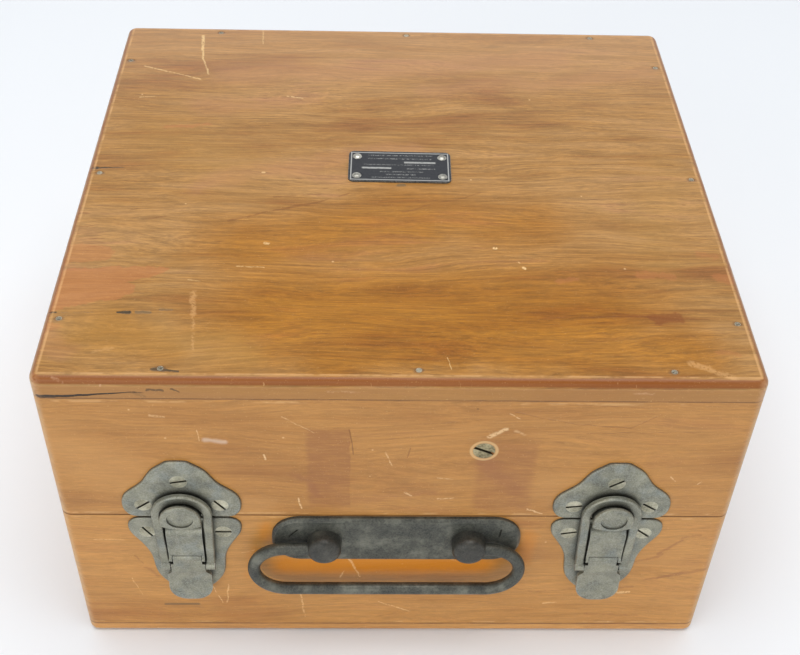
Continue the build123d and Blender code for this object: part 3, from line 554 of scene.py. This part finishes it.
def wall_wood(name, tones, seed, along="x", low=SEAM_Z, high=ROOF_Z):
    """Varnished wall board with worn upright corners and dark joints at a low and a high level."""
    w = wood(name, tones, seed, along, 0.8)
    g, at = w["g"], w["at"]
    z = w["xyz"][2]
    rim, wide, deep = rim_distance(w)
    flow = g.noise(at, (14, 14, 7), 3, 0.6, seed + 2.0)
    corner = g.smooth(g.math("MAXIMUM", wide, deep), 4.2, 0.8)
    tint(w, g.times(corner, g.smooth(flow, 0.32, 0.6, 0.35, 1.0)), 0.6, srgb(208, 172, 124))
    grime = g.times(corner, g.smooth(flow, 0.55, 0.68))
    tint(w, grime, 0.4, srgb(126, 106, 80))
    outer = g.smooth(rim, 5.0, 2.0, 0.15, 1.0)
    joints = g.times(g.most([near(g, z, low, 0.8), near(g, z, high, 0.55)]), outer)
    tint(w, g.times(joints, g.smooth(flow, 0.3, 0.6, 0.35, 1.0)), 0.72, srgb(104, 66, 34))
    for level, inward in ((low, 1.6), (high, -1.6)):
        pale = g.times(near(g, z, level + inward, 1.0), g.smooth(flow, 0.5, 0.62))
        tint(w, pale, 0.4, srgb(222, 176, 118))
    return w


def wood_of_lid_front():
    """The lid's front board with its two dark patches, scratches and the pale ring round the screw."""
    w = wall_wood("varnished_wood_lid_front", LID_TONES, 4.0)
    g, at = w["g"], w["at"]
    f = -HALF_DEEP
    soft = warped(g, at, 12.0, 16.0, 3.0)
    comb = g.smooth(g.noise(at, (9, 1, 1.2), 3, 0.6, 6.0), 0.36, 0.6, 0.4, 1.0)
    edge = warped(g, at, 2.2, 6.0, 4.5)
    ex, _, ez = g.split(edge)
    in_one = between(g, ex, (-41.5, -38.5), (-21.0, -21.8))
    in_one = g.times(in_one, between(g, ez, (96.0, 101.0), (151.0, 148.0)))
    in_two = between(g, ex, (32.0, 36.0), (61.5, 57.5))
    in_two = g.times(in_two, between(g, ez, (93.0, 99.0), (148.0, 136.0)))
    patches = g.times(g.most([in_one, g.times(in_two, 0.85)]), comb)
    tint(w, patches, 0.7, srgb(150, 96, 52))
    brown = strokes(w, soft, [
        ((-44, f, 118), (-34, f, 106), 5, 3, 0.9, 0.8),
        ((38, f, 128), (52, f, 112), 8, 8, 0.9, 0.7),
        ((-20, f, 104), (16, f, 108), 5, 3, 0.9, 0.5),
        ((110, f, 128), (124, f, 130), 4, 3, 0.9, 0.3),
    ])
    tint(w, brown, 0.45, srgb(144, 88, 56))
    bright = strokes(w, soft, [
        ((-150, f, 140), (-120, f, 120), 22, 24, 0.9, 0.8),
        ((-120, f, 112), (-60, f, 98), 12, 10, 0.9, 0.8),
        ((66, f, 112), (120, f, 100), 14, 12, 0.9, 0.7),
    ])
    tint(w, bright, 0.4, srgb(203, 150, 88))
    lines = strokes(w, warped(g, at, 2.0, 9.0, 9.0), [
        ((-21.4, f, 150), (-19.8, f, 134), 0.35, 0.3, 0.6, 1.0),
        ((-41, f, 150.4), (-21.4, f, 150.4), 0.25, 0.25, 0.6, 0.5),
        ((48, f, 160.8), (74, f, 153.6), 0.5, 0.6, 0.8, 0.6),
        ((74, f, 153.6), (98, f, 151.4), 0.6, 0.5, 0.8, 0.6),
        ((98, f, 151.4), (112, f, 161.6), 0.5, 0.5, 0.8, 0.5),
        ((80, f, 148), (128, f, 149.4), 0.5, 0.4, 0.8, 0.6),
        ((62, f, 166), (104, f, 163.8), 0.4, 0.4, 0.8, 0.5),
        ((10, f, 153), (34, f, 156), 0.4, 0.3, 0.8, 0.4),
        ((4.4, f, 138), (3.6, f, 132), 0.45, 0.35, 0.6, 0.7),
    ])
    tint(w, lines, 0.5, srgb(112, 66, 36))
    dent(w, lines, 1.5)
    broken = g.smooth(g.noise(at, 1.4, 3, 0.7, 8.0), 0.36, 0.52)
    scrapes = strokes(w, warped(g, at, 1.6, 3.0, 11.0), [
        ((38, f, 145.4), (45, f, 150.4), 1.7, 1.5, 0.8, 1.0),
        ((49, f, 149), (53, f, 147), 1.1, 0.8, 0.9, 0.5),
        ((46, f, 160), (50, f, 156.8), 0.5, 0.4, 0.7, 0.7),
        ((-6, f, 135), (-3, f, 126), 0.5, 0.4, 0.7, 0.7),
        ((17, f, 118.4), (24, f, 117.8), 0.5, 0.3, 0.7, 0.6),
        ((18, f, 104), (25, f, 104.6), 0.6, 0.4, 0.7, 0.7),
        ((3, f, 108), (6, f, 106), 0.8, 0.5, 0.7, 0.7),
        ((-44.6, f, 104), (-43.6, f, 97), 0.6, 0.5, 0.7, 1.0),
        ((59, f, 97), (66, f, 93.6), 0.7, 0.5, 0.7, 0.9),
        ((-50, f, 157), (-36, f, 147), 0.4, 0.3, 0.7, 0.6),
        ((-58.6, f, 133), (-57.8, f, 130), 0.7, 0.6, 0.6, 1.0),
        ((-120, f, 98), (-118.6, f, 97), 1.0, 0.8, 0.7, 0.8),
        ((-105, f, 157.4), (-99, f, 156.6), 1.0, 0.8, 0.8, 0.5),
        ((120.4, f, 120), (123, f, 117), 0.6, 0.4, 0.7, 0.8),
        ((133.6, f, 115), (134.8, f, 117), 0.5, 0.4, 0.7, 0.7),
        ((-86, f, 148.6), (-85.4, f, 142), 0.4, 0.4, 0.7, 0.7),
    ], broken)
    tint(w, scrapes, 0.72, srgb(236, 198, 146))
    chalk = strokes(w, warped(g, at, 2.0, 4.0, 12.0), [
        ((-82.9, f, 142.6), (-74.8, f, 141.2), 2.2, 2.0, 0.9, 1.0),
    ])
    tint(w, chalk, 0.42, srgb(226, 206, 188))
    screw_x, _, screw_z = middle("lid_front_screw")
    from_screw = g.length(g.vector("SUBTRACT", at, (screw_x, f, screw_z)))
    tint(w, near(g, from_screw, 5.6, 1.0), 0.6, srgb(222, 184, 128))
    around_latches(w, 112.0)
    return finish_wood(w)


def around_latches(w, height):
    """Warmer varnish close round the latch plates, centred at a height."""
    f = -HALF_DEEP
    warm = [((s * LATCH_X, f, height), (s * LATCH_X, f, height - 4), 30, 30, 0.5, 0.6) for s in (-1, 1)]
    tint(w, strokes(w, w["at"], warm), 0.4, srgb(196, 138, 66))


def wood_of_base_front():
    """The base's front board with its orange patch behind the bail, stains and scratches."""
    w = wall_wood("varnished_wood_base_front", BASE_TONES, 8.0, low=FLOOR_BOARD, high=SEAM_Z)
    g, at = w["g"], w["at"]
    f = -HALF_DEEP
    warm = strokes(w, warped(g, at, 6.0, 10.0, 3.0), [
        ((-52, f, 55), (40, f, 55), 12, 12, 0.8, 1.0),
        ((-60, f, 76), (-60, f, 84), 6, 5, 0.9, 0.55),
        ((60, f, 58), (62, f, 78), 7, 6, 0.9, 0.55),
        ((-68, f, 48), (-66, f, 66), 6, 5, 0.9, 0.4),
    ])
    tint(w, warm, 0.78, srgb(212, 127, 6))
    around_latches(w, 66.0)
    stains = strokes(w, warped(g, at, 4.0, 6.0, 4.0), [
        ((120, f, 43), (139, f, 49), 1.0, 2.2, 0.8, 0.9),
        ((139, f, 49), (151, f, 52), 2.2, 1.4, 0.8, 0.7),
        ((112, f, 57), (126, f, 63), 1.0, 1.8, 0.8, 0.7),
        ((124, f, 64), (134, f, 74), 1.8, 1.4, 0.8, 0.8),
        ((134, f, 76), (142, f, 78), 1.6, 1.2, 0.8, 0.6),
        ((-123, f, 62), (-119, f, 56), 0.8, 0.6, 0.8, 0.7),
        ((-118, f, 52), (-113, f, 46), 1.8, 1.4, 0.9, 0.6),
        ((70, f, 34), (116, f, 38), 0.8, 1.2, 0.9, 0.6),
        ((54, f, 37), (72, f, 33), 0.6, 0.8, 0.9, 0.6),
        ((96, f, 15), (122, f, 14), 1.6, 1.0, 0.9, 0.6),
    ])
    tint(w, stains, 0.5, srgb(132, 76, 46))
    bruise = strokes(w, at, [((-112, f, 22.6), (-96, f, 22.8), 1.2, 1.4, 0.8, 1.0)])
    tint(w, bruise, 0.75, srgb(104, 84, 56))
    broken = g.smooth(g.noise(at, 1.4, 3, 0.7, 8.0), 0.36, 0.52)
    scrapes = strokes(w, warped(g, at, 2.0, 4.0, 11.0), [
        ((-22, f, 60.2), (-16.8, f, 45.2), 0.8, 0.5, 0.6, 1.0),
        ((-26.4, f, 45.1), (-24, f, 50.7), 0.6, 0.4, 0.6, 1.0),
        ((-44.8, f, 70), (-40.4, f, 61.6), 0.6, 0.5, 0.6, 1.0),
        ((-46, f, 36), (-44, f, 12), 0.8, 0.5, 0.8, 0.8),
        ((-8, f, 25), (8, f, 17), 0.5, 0.7, 0.7, 0.8),
        ((24, f, 60), (29, f, 58), 0.5, 0.5, 0.7, 0.8),
        ((-88, f, 38), (-84, f, 24), 0.5, 0.4, 0.7, 0.8),
        ((-140, f, 74), (-126, f, 73.4), 0.5, 0.4, 0.7, 0.6),
        ((-126, f, 44), (-122, f, 30), 0.5, 0.3, 0.7, 0.6),
        ((110, f, 33), (115, f, 33.6), 1.4, 1.0, 0.7, 1.0),
        ((-72, f, 64), (-66, f, 66), 0.4, 0.4, 0.7, 0.6),
        ((-80, f, 39), (-82, f, 24), 0.6, 0.6, 0.8, 0.7),
        ((74, f, 24), (80, f, 24.6), 1.0, 0.6, 0.8, 0.8),
    ], broken)
    tint(w, scrapes, 0.7, srgb(236, 192, 132))
    return finish_wood(w)


def wood_of_bottom():
    """The bottom board, scuffed and smutty underneath."""
    w = wall_wood("varnished_wood_bottom", BOTTOM_TONES, 12.0, low=FLOOR_BOARD, high=NOWHERE)
    g, at = w["g"], w["at"]
    z = w["xyz"][2]
    scuffs = g.smooth(g.noise(at, (16, 5, 2), 4, 0.65, 3.0), 0.5, 0.66)
    under = g.smooth(z, 1.6, 0.0)
    tint(w, g.times(scuffs, g.smooth(z, 3.4, 1.0)), 0.6, srgb(206, 168, 120))
    smut = g.smooth(g.noise(at, 34, 4, 0.6, 5.0), 0.5, 0.68)
    tint(w, g.times(under, smut), 0.55, srgb(104, 82, 58))
    return finish_wood(w)


def wood_inside():
    """Bare sanded wood of the fittings inside, with light wear and a few grey-brown smudges."""
    w = wood("inner_wood", INNER_TONES, 41.0, "y", 0.9, dry=True)
    g, at = w["g"], w["at"]
    smudge = g.smooth(g.noise(at, 22, 3, 0.6, 5.0), 0.55, 0.7)
    tint(w, smudge, 0.25, srgb(120, 98, 74))
    return finish_wood(w, 0.5)


# ---- Metals, the nameplate and the felt ----
METAL_STEPS = (0.3, 0.5, 0.7)


def edge_wear(g, radius):
    """Mask of outer edges, from how far rounded normals leave the true ones."""
    bevel = g.add("ShaderNodeBevel", radius * MM)
    bevel.samples = 4
    true = g.add("ShaderNodeNewGeometry").outputs["Normal"]
    turn = g.add("ShaderNodeVectorMath", bevel.outputs[0], true, operation="DOT_PRODUCT")
    return g.smooth(turn.outputs["Value"], 0.995, 0.90)


def crevice(g, reach):
    """Mask of tight corners."""
    shade = g.add("ShaderNodeAmbientOcclusion")
    shade.samples = 4
    shade.inputs["Distance"].default_value = reach * MM
    return g.smooth(shade.outputs["AO"], 0.85, 0.35)


def metal(name, tones, seed, metallic, rough, edge=0.5, scratch=0.5, grime=0.7, spots=0.3):
    """Aged metal: mottled finish, hairline scratches, rubbed edges, and grime with painted shade in the
    tight corners.
    """
    darker, _, lighter = tones
    g = Graph(name)
    at = g.place()
    cloud = g.noise(at, 9.0, 4, 0.6, seed)
    grit = g.noise(at, 0.9, 3, 0.65, seed + 4.0)
    base = g.ramp(cloud, list(zip(METAL_STEPS, tones)))
    base = g.mix(g.smooth(grit, 0.35, 0.65, 0.0, spots), base, lighter)
    base = g.mix(g.smooth(grit, 0.5, 0.3, 0.0, spots), base, darker)
    lines = g.most([hairlines(g, at, turn, seed + turn, 7.0, 0.22, 0.66) for turn in (18, 52, 128)])
    base = g.mix(g.times(lines, scratch), base, lighter)
    rubbed = g.times(edge_wear(g, 0.45), g.smooth(cloud, 0.3, 0.6, 0.4, 1.0))
    base = g.mix(g.times(rubbed, edge), base, lighter)
    # Painted shade with grime: tight corners found by ambient occlusion are darkened by the grime amount,
    # and made rougher.
    shade_and_grime = crevice(g, 2.2)
    base = g.mix(g.times(shade_and_grime, grime), base, srgb(38, 34, 28))
    gloss = g.smooth(cloud, 0.3, 0.7, rough + 0.07, rough - 0.07)
    gloss = g.math("ADD", gloss, g.times(shade_and_grime, 0.25))
    height = g.math("SUBTRACT", g.times(grit, 0.35), g.times(lines, 0.3))
    return g.surface(base, gloss, height, 0.00006, Metallic=metallic)


def zinc():
    """Greenish and bluish grey satin zinc of the latches, with painted shade in its tight corners."""
    g = Graph("zinc_grey")
    at = g.place()
    cloud = g.noise(at, 7.0, 4, 0.6, 3.0)
    hue = g.noise(at, 11.0, 3, 0.6, 11.0)
    grit = g.noise(at, 0.7, 3, 0.65, 6.0)
    tones = shades((110, 110, 98), (131, 130, 113), (152, 150, 131))
    base = g.ramp(cloud, list(zip(METAL_STEPS, tones)))
    base = g.mix(g.smooth(hue, 0.5, 0.66, 0.0, 0.3), base, srgb(118, 132, 136))
    base = g.mix(g.smooth(hue, 0.48, 0.34, 0.0, 0.35), base, srgb(146, 144, 120))
    base = g.mix(g.smooth(grit, 0.4, 0.66, 0.0, 0.3), base, srgb(182, 184, 178))
    base = g.mix(g.smooth(grit, 0.42, 0.3, 0.0, 0.35), base, srgb(92, 94, 90))
    lines = g.most([hairlines(g, at, turn, turn, 6.0, 0.2, 0.68) for turn in (12, 61, 140)])
    base = g.mix(g.times(lines, 0.4), base, srgb(196, 196, 188))
    rubbed = g.times(edge_wear(g, 0.4), g.smooth(cloud, 0.3, 0.6, 0.4, 1.0))
    base = g.mix(g.times(rubbed, 0.5), base, srgb(190, 190, 180))
    # Painted shade: an occlusion mask darkens the tight corners, such as the gap under the hook and round
    # the loop.
    shade_and_grime = crevice(g, 4.2)
    base = g.mix(g.times(shade_and_grime, 0.85), base, srgb(44, 42, 34))
    height = g.math("SUBTRACT", g.times(grit, 0.4), g.times(lines, 0.25))
    gloss = g.smooth(cloud, 0.3, 0.7, 0.5, 0.38)
    return g.surface(base, gloss, height, 0.00006, Metallic=0.62)


# Bars on the nameplate: level above its middle, left end, right end, and strength.
PLATE_BARS = (
    (9.2, -16, 17, 0.55),
    (6.4, -16, 16, 0.6),
    (3.4, 2, 18, 1.0),
    (1.2, -18, 17, 0.5),
    (-1.6, -19, -4, 1.0),
    (-1.9, 3, 18, 0.6),
    (-4.6, -10, 12, 0.5),
    (-7.0, -7, 8, 0.75),
    (-9.4, -14, 15, 0.5),
)
PLATE_TURN = -0.8


def nameplate_black():
    """Black enamelled plate with a bare border line and generic worn bars, no letters."""
    g = Graph("nameplate_black")
    at = g.place()
    node = g.add("ShaderNodeMapping", at, vector_type="TEXTURE")
    node.inputs["Location"].default_value = (*middle("nameplate")[:2], TOP_Z)
    node.inputs["Rotation"].default_value = (0, 0, math.radians(PLATE_TURN))
    turned = node.outputs[0]
    x, y, z = g.split(turned)
    along = g.math("ABSOLUTE", x)
    rise = g.math("ABSOLUTE", y)
    chips = g.noise(at, 1.1, 4, 0.7, 2.0)
    outward = g.math("MAXIMUM", g.math("SUBTRACT", along, 12.7), rise)
    border = near(g, outward, 11.4, 0.42)
    fine = g.noise(turned, (0.55, 0.9, 1), 2, 0.6, 5.0)
    inked = g.smooth(fine, 0.46, 0.56)
    bars = []
    for level, left, right, solid in PLATE_BARS:
        line = near(g, y, level, 1.0 if solid == 1.0 else 0.6)
        span = between(g, x, (left, left + 0.4), (right, right - 0.4))
        bar = g.times(g.times(line, span), solid)
        bars.append(g.times(bar, inked) if solid < 1.0 else bar)
    marks = g.times(g.most(bars), g.smooth(chips, 0.34, 0.5, 0.5, 1.0))
    flat = g.smooth(z, 0.0, 0.1)
    base = g.ramp(chips, [(0.35, srgb(40, 42, 46)), (0.7, srgb(62, 63, 66))])
    marks = g.times(g.most([marks, border]), flat)
    base = g.mix(g.times(marks, 0.8), base, srgb(196, 196, 190))
    rubbed = g.times(edge_wear(g, 0.5), g.smooth(chips, 0.3, 0.55))
    base = g.mix(g.times(rubbed, 0.7), base, srgb(170, 168, 158))
    return g.surface(base, g.smooth(chips, 0.3, 0.7, 0.3, 0.5), marks, 0.00008, Metallic=0.3)


def felt():
    """Green wool felt: fibres, fuzz and paler rubbed patches."""
    g = Graph("green_felt")
    at = g.place()
    fibre = g.noise(warped(g, at, 2.0, 1.4, 3.0), 0.35, 4, 0.7, 1.0)
    cloud = g.noise(at, 12.0, 3, 0.6, 6.0)
    base = g.ramp(fibre, [(0.3, srgb(30, 54, 38)), (0.5, srgb(46, 78, 56)), (0.75, srgb(84, 112, 84))])
    base = g.mix(g.smooth(cloud, 0.5, 0.68, 0.0, 0.5), base, srgb(92, 108, 80))
    return g.surface(base, 0.95, fibre, 0.0006, Sheen_Weight=0.6, Sheen_Roughness=0.5)


# ---- Finishes of the nodes ----
finishes = {
    "varnished_wood_top": wood_of_top(),
    "lid_front": wood_of_lid_front(),
    "base_front": wood_of_base_front(),
    "lid_wall": finish_wood(wall_wood("varnished_wood_lid_back", LID_TONES, 21.0)),
    "base_wall": finish_wood(
        wall_wood("varnished_wood_base_back", BASE_TONES, 26.0, low=FLOOR_BOARD, high=SEAM_Z)
    ),
    "lid_side": finish_wood(wall_wood("varnished_wood_lid_sides", LID_TONES, 31.0, "y")),
    "base_side": finish_wood(
        wall_wood("varnished_wood_base_sides", BASE_TONES, 36.0, "y", FLOOR_BOARD, SEAM_Z)
    ),
    "varnished_wood_bottom": wood_of_bottom(),
    "inner_wood": wood_inside(),
    "green_felt": felt(),
    "dull_steel": metal(
        "dull_steel", shades((66, 58, 46), (120, 112, 98), (214, 204, 178)), 2.0, 0.8, 0.42,
        edge=0.8, grime=0.6, spots=0.5,
    ),
    "plated_steel": metal(
        "plated_steel", shades((104, 104, 98), (150, 150, 144), (204, 204, 196)), 5.0, 0.8, 0.4
    ),
    "nameplate_black": nameplate_black(),
    "nickel_pins": metal(
        "nickel_pins", shades((98, 96, 88), (150, 148, 138), (214, 212, 200)), 7.0, 0.8, 0.36
    ),
    "gunmetal": metal(
        "gunmetal", shades((48, 50, 48), (68, 69, 62), (114, 114, 102)), 9.0, 0.45, 0.44,
        edge=0.55, scratch=0.4, grime=0.5,
    ),
    "stud": metal(
        "gunmetal_studs", shades((34, 35, 33), (50, 49, 44), (88, 86, 76)), 10.0, 0.3, 0.4,
        edge=0.4, scratch=0.3, grime=0.4,
    ),
    "zinc_grey": zinc(),
    "brassy_screws": metal(
        "brassy_screws", shades((104, 100, 80), (150, 147, 126), (208, 204, 180)), 13.0, 0.7, 0.38,
        edge=0.6, grime=0.9,
    ),
    "old_screw": metal(
        "old_screw", shades((80, 72, 50), (122, 112, 82), (186, 174, 136)), 15.0, 0.6, 0.44,
        grime=0.9, spots=0.5,
    ),
}
# A node takes the finish of its material slot, apart from these.
chosen = {
    "lid_front": "lid_front",
    "lid_back": "lid_wall",
    "base_front": "base_front",
    "base_back": "base_wall",
    "lid_front_screw": "old_screw",
}
for side in SIDES:
    chosen[f"handle_stud_{side}"] = "stud"
    chosen[f"lid_{side}"] = "lid_side"
    chosen[f"base_{side}"] = "base_side"
slot_of = {part["node"]: part["material_slot"] for part in frame["record"]["subparts"]}
for name, piece in nodes.items():
    piece.data.materials.clear()
    piece.data.materials.append(finishes[chosen.get(name, slot_of[name])])


# ---- Felt pads ----
FELT_THICK = 3.0
FELT_LAYERS = 4
FUZZ = 0.05
RIM_PINCH = (0.34, 0.12, 0.03)  # how much thinner the pad is at its rim and the next rows


def soft_sheet(name, body, node, place, cells, seed):
    """Felt pad over a grid of cells: place(u, v, depth), each from 0 to 1, gives a point in millimetres."""
    across, along = cells
    layers = FELT_LAYERS
    draw = random.Random(seed)
    mesh = bmesh.new()
    shell = {}
    for i in range(across + 1):
        for j in range(along + 1):
            for k in range(layers + 1):
                if 0 < i < across and 0 < j < along and 0 < k < layers:
                    continue
                rim = min(i, across - i, j, along - j)
                pinch = RIM_PINCH[rim] if rim < len(RIM_PINCH) else 0.0
                fuzz = draw.uniform(-FUZZ, FUZZ) if 0 < k else 0.0
                depth = k / layers * (1.0 - pinch) - (0.0 if k == 0 else pinch * 0.1)
                point = place(i / across, j / along, max(0.0, min(1.0 - pinch, depth + fuzz)))
                shell[i, j, k] = mesh.verts.new([c * MM for c in point])
    corners = ((0, 0), (1, 0), (1, 1), (0, 1))
    for i in range(across):
        for j in range(along):
            for k in (0, layers):
                mesh.faces.new([shell[i + a, j + b, k] for a, b in corners])
    for k in range(layers):
        for i in range(across):
            for j in (0, along):
                mesh.faces.new([shell[i + a, j, k + b] for a, b in corners])
        for j in range(along):
            for i in (0, across):
                mesh.faces.new([shell[i, j + a, k + b] for a, b in corners])
    bmesh.ops.recalc_face_normals(mesh, faces=mesh.faces)
    data = bpy.data.meshes.new(name)
    mesh.to_mesh(data)
    mesh.free()
    for face in data.polygons:
        face.use_smooth = True
    data.materials.append(finishes["green_felt"])
    piece = bpy.data.objects.new(name, data)
    scene.collection.objects.link(piece)
    smooth = piece.modifiers.new("smooth", "SUBSURF")
    smooth.levels = smooth.render_levels = 1
    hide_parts(node)
    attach(piece, body)


SEAT_SHARE = 0.985  # how much of the seat's arc the felt covers
SEAT_MARGIN = 0.2


def seat_pad(side):
    """Felt glued in a cradle's round seat, pressed thinner at the bottom of the seat."""
    node = f"cradle_felt_{side}"
    low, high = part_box(node)
    x0, y0, z0 = (c / MM for c in low)
    x1, y1, z1 = (c / MM for c in high)
    half, deep = (y1 - y0) / 2, z1 - z0
    radius = (half * half + deep * deep) / (2 * deep)
    axis_z = z0 + radius
    reach = math.asin(half / radius)

    def place(u, v, depth):
        turn = (v * 2 - 1) * reach * SEAT_SHARE
        pressed = 1.0 - 0.28 * math.exp(-((v - 0.5) * 3.4) ** 2) * math.sin(math.pi * u)
        r = radius - depth * FELT_THICK * pressed
        x = x0 + SEAT_MARGIN + u * (x1 - x0 - 2 * SEAT_MARGIN)
        return (x, r * math.sin(turn), axis_z - r * math.cos(turn))

    soft_sheet(f"felt_seat_pad_{side}", "case", node, place, (14, 72), 5)


def roof_pad():
    """Felt glued under the hold-down block, bowed where it presses."""
    low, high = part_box("hold_down_felt")
    x0, y0, z0 = (c / MM for c in low)
    x1, y1, z1 = (c / MM for c in high)

    def place(u, v, depth):
        pressed = 1.0 - 0.22 * math.sin(math.pi * u) * math.sin(math.pi * v)
        return (x0 + u * (x1 - x0), y0 + v * (y1 - y0), z1 - depth * (z1 - z0) * pressed)

    soft_sheet("felt_roof_pad", "lid", "hold_down_felt", place, (30, 30), 6)


for side in SIDES:
    seat_pad(side)
roof_pad()


# ---- Floor, light and camera ----
FLOOR_SIZE = 14.0
FLOOR_BEHIND = 2.0
FLOOR_GAP = 0.0005  # keeps the floor out of the plane of the case's underside
FLOOR_COLOUR = (0.87, 0.895, 0.915, 1.0)
# Sky brightness from level with the case, at 0, to straight above it, at 1.
SKY = [
    (0.0, (1.0, 1.0, 1.0, 1)),
    (0.40, (1.1, 1.13, 1.18, 1)),
    (0.66, (0.16, 0.17, 0.19, 1)),
    (1.0, (0.3, 0.3, 0.32, 1)),
]
CASE_MIDDLE = (0, 0, 0.1)
# The camera was solved from the corners of the case in the photograph.
CAMERA_SPOT = (-0.01543, -0.49689, 0.53446)
CAMERA_TURN = (0.826009, -0.025456, -0.015376)
CAMERA_LENS = 55.343
SENSOR_WIDTH = 36.0


def floor_paint():
    """Matt pale paint of the studio floor, very faintly uneven."""
    g = Graph("studio_floor")
    faint = g.noise(g.place(), 400, 2, 0.5)
    shaded = tuple(c * 0.99 for c in FLOOR_COLOUR[:3]) + (1,)
    return g.surface(g.mix(faint, FLOOR_COLOUR, shaded), 0.75)


bpy.ops.mesh.primitive_plane_add(size=FLOOR_SIZE, location=(0, FLOOR_BEHIND, -FLOOR_GAP))
floor = bpy.context.object
floor.name = "studio_floor"
floor.data.materials.append(floor_paint())

world = bpy.data.worlds.new("studio")
scene.world = world
world.use_nodes = True
world.node_tree.nodes.clear()
sky = Graph("studio", world.node_tree)
upward = sky.split(sky.add("ShaderNodeTexCoord").outputs["Generated"])[2]
backdrop = sky.add("ShaderNodeBackground", sky.ramp(upward, SKY), 1.0)
sky.feed(sky.add("ShaderNodeOutputWorld").inputs["Surface"], backdrop.outputs[0])


def softbox(name, spot, size, watts):
    """Rectangular soft light at a spot, turned towards the case."""
    data = bpy.data.lights.new(name, "AREA")
    data.shape = "RECTANGLE"
    data.size, data.size_y = size
    data.energy = watts
    lamp = bpy.data.objects.new(name, data)
    scene.collection.objects.link(lamp)
    lamp.location = spot
    aim = Vector(CASE_MIDDLE) - Vector(spot)
    lamp.rotation_euler = aim.to_track_quat("-Z", "Y").to_euler()


softbox("overhead", spot=(0.0, -0.1, 2.0), size=(1.8, 1.4), watts=29.5)
softbox("front_fill", spot=(-0.85, -1.8, 1.0), size=(1.8, 1.2), watts=10.5)

camera_data = bpy.data.cameras.new("camera")
camera_data.lens = CAMERA_LENS
camera_data.sensor_width = SENSOR_WIDTH
camera = bpy.data.objects.new("camera", camera_data)
scene.collection.objects.link(camera)
camera.location = CAMERA_SPOT
camera.rotation_euler = CAMERA_TURN
scene.camera = camera
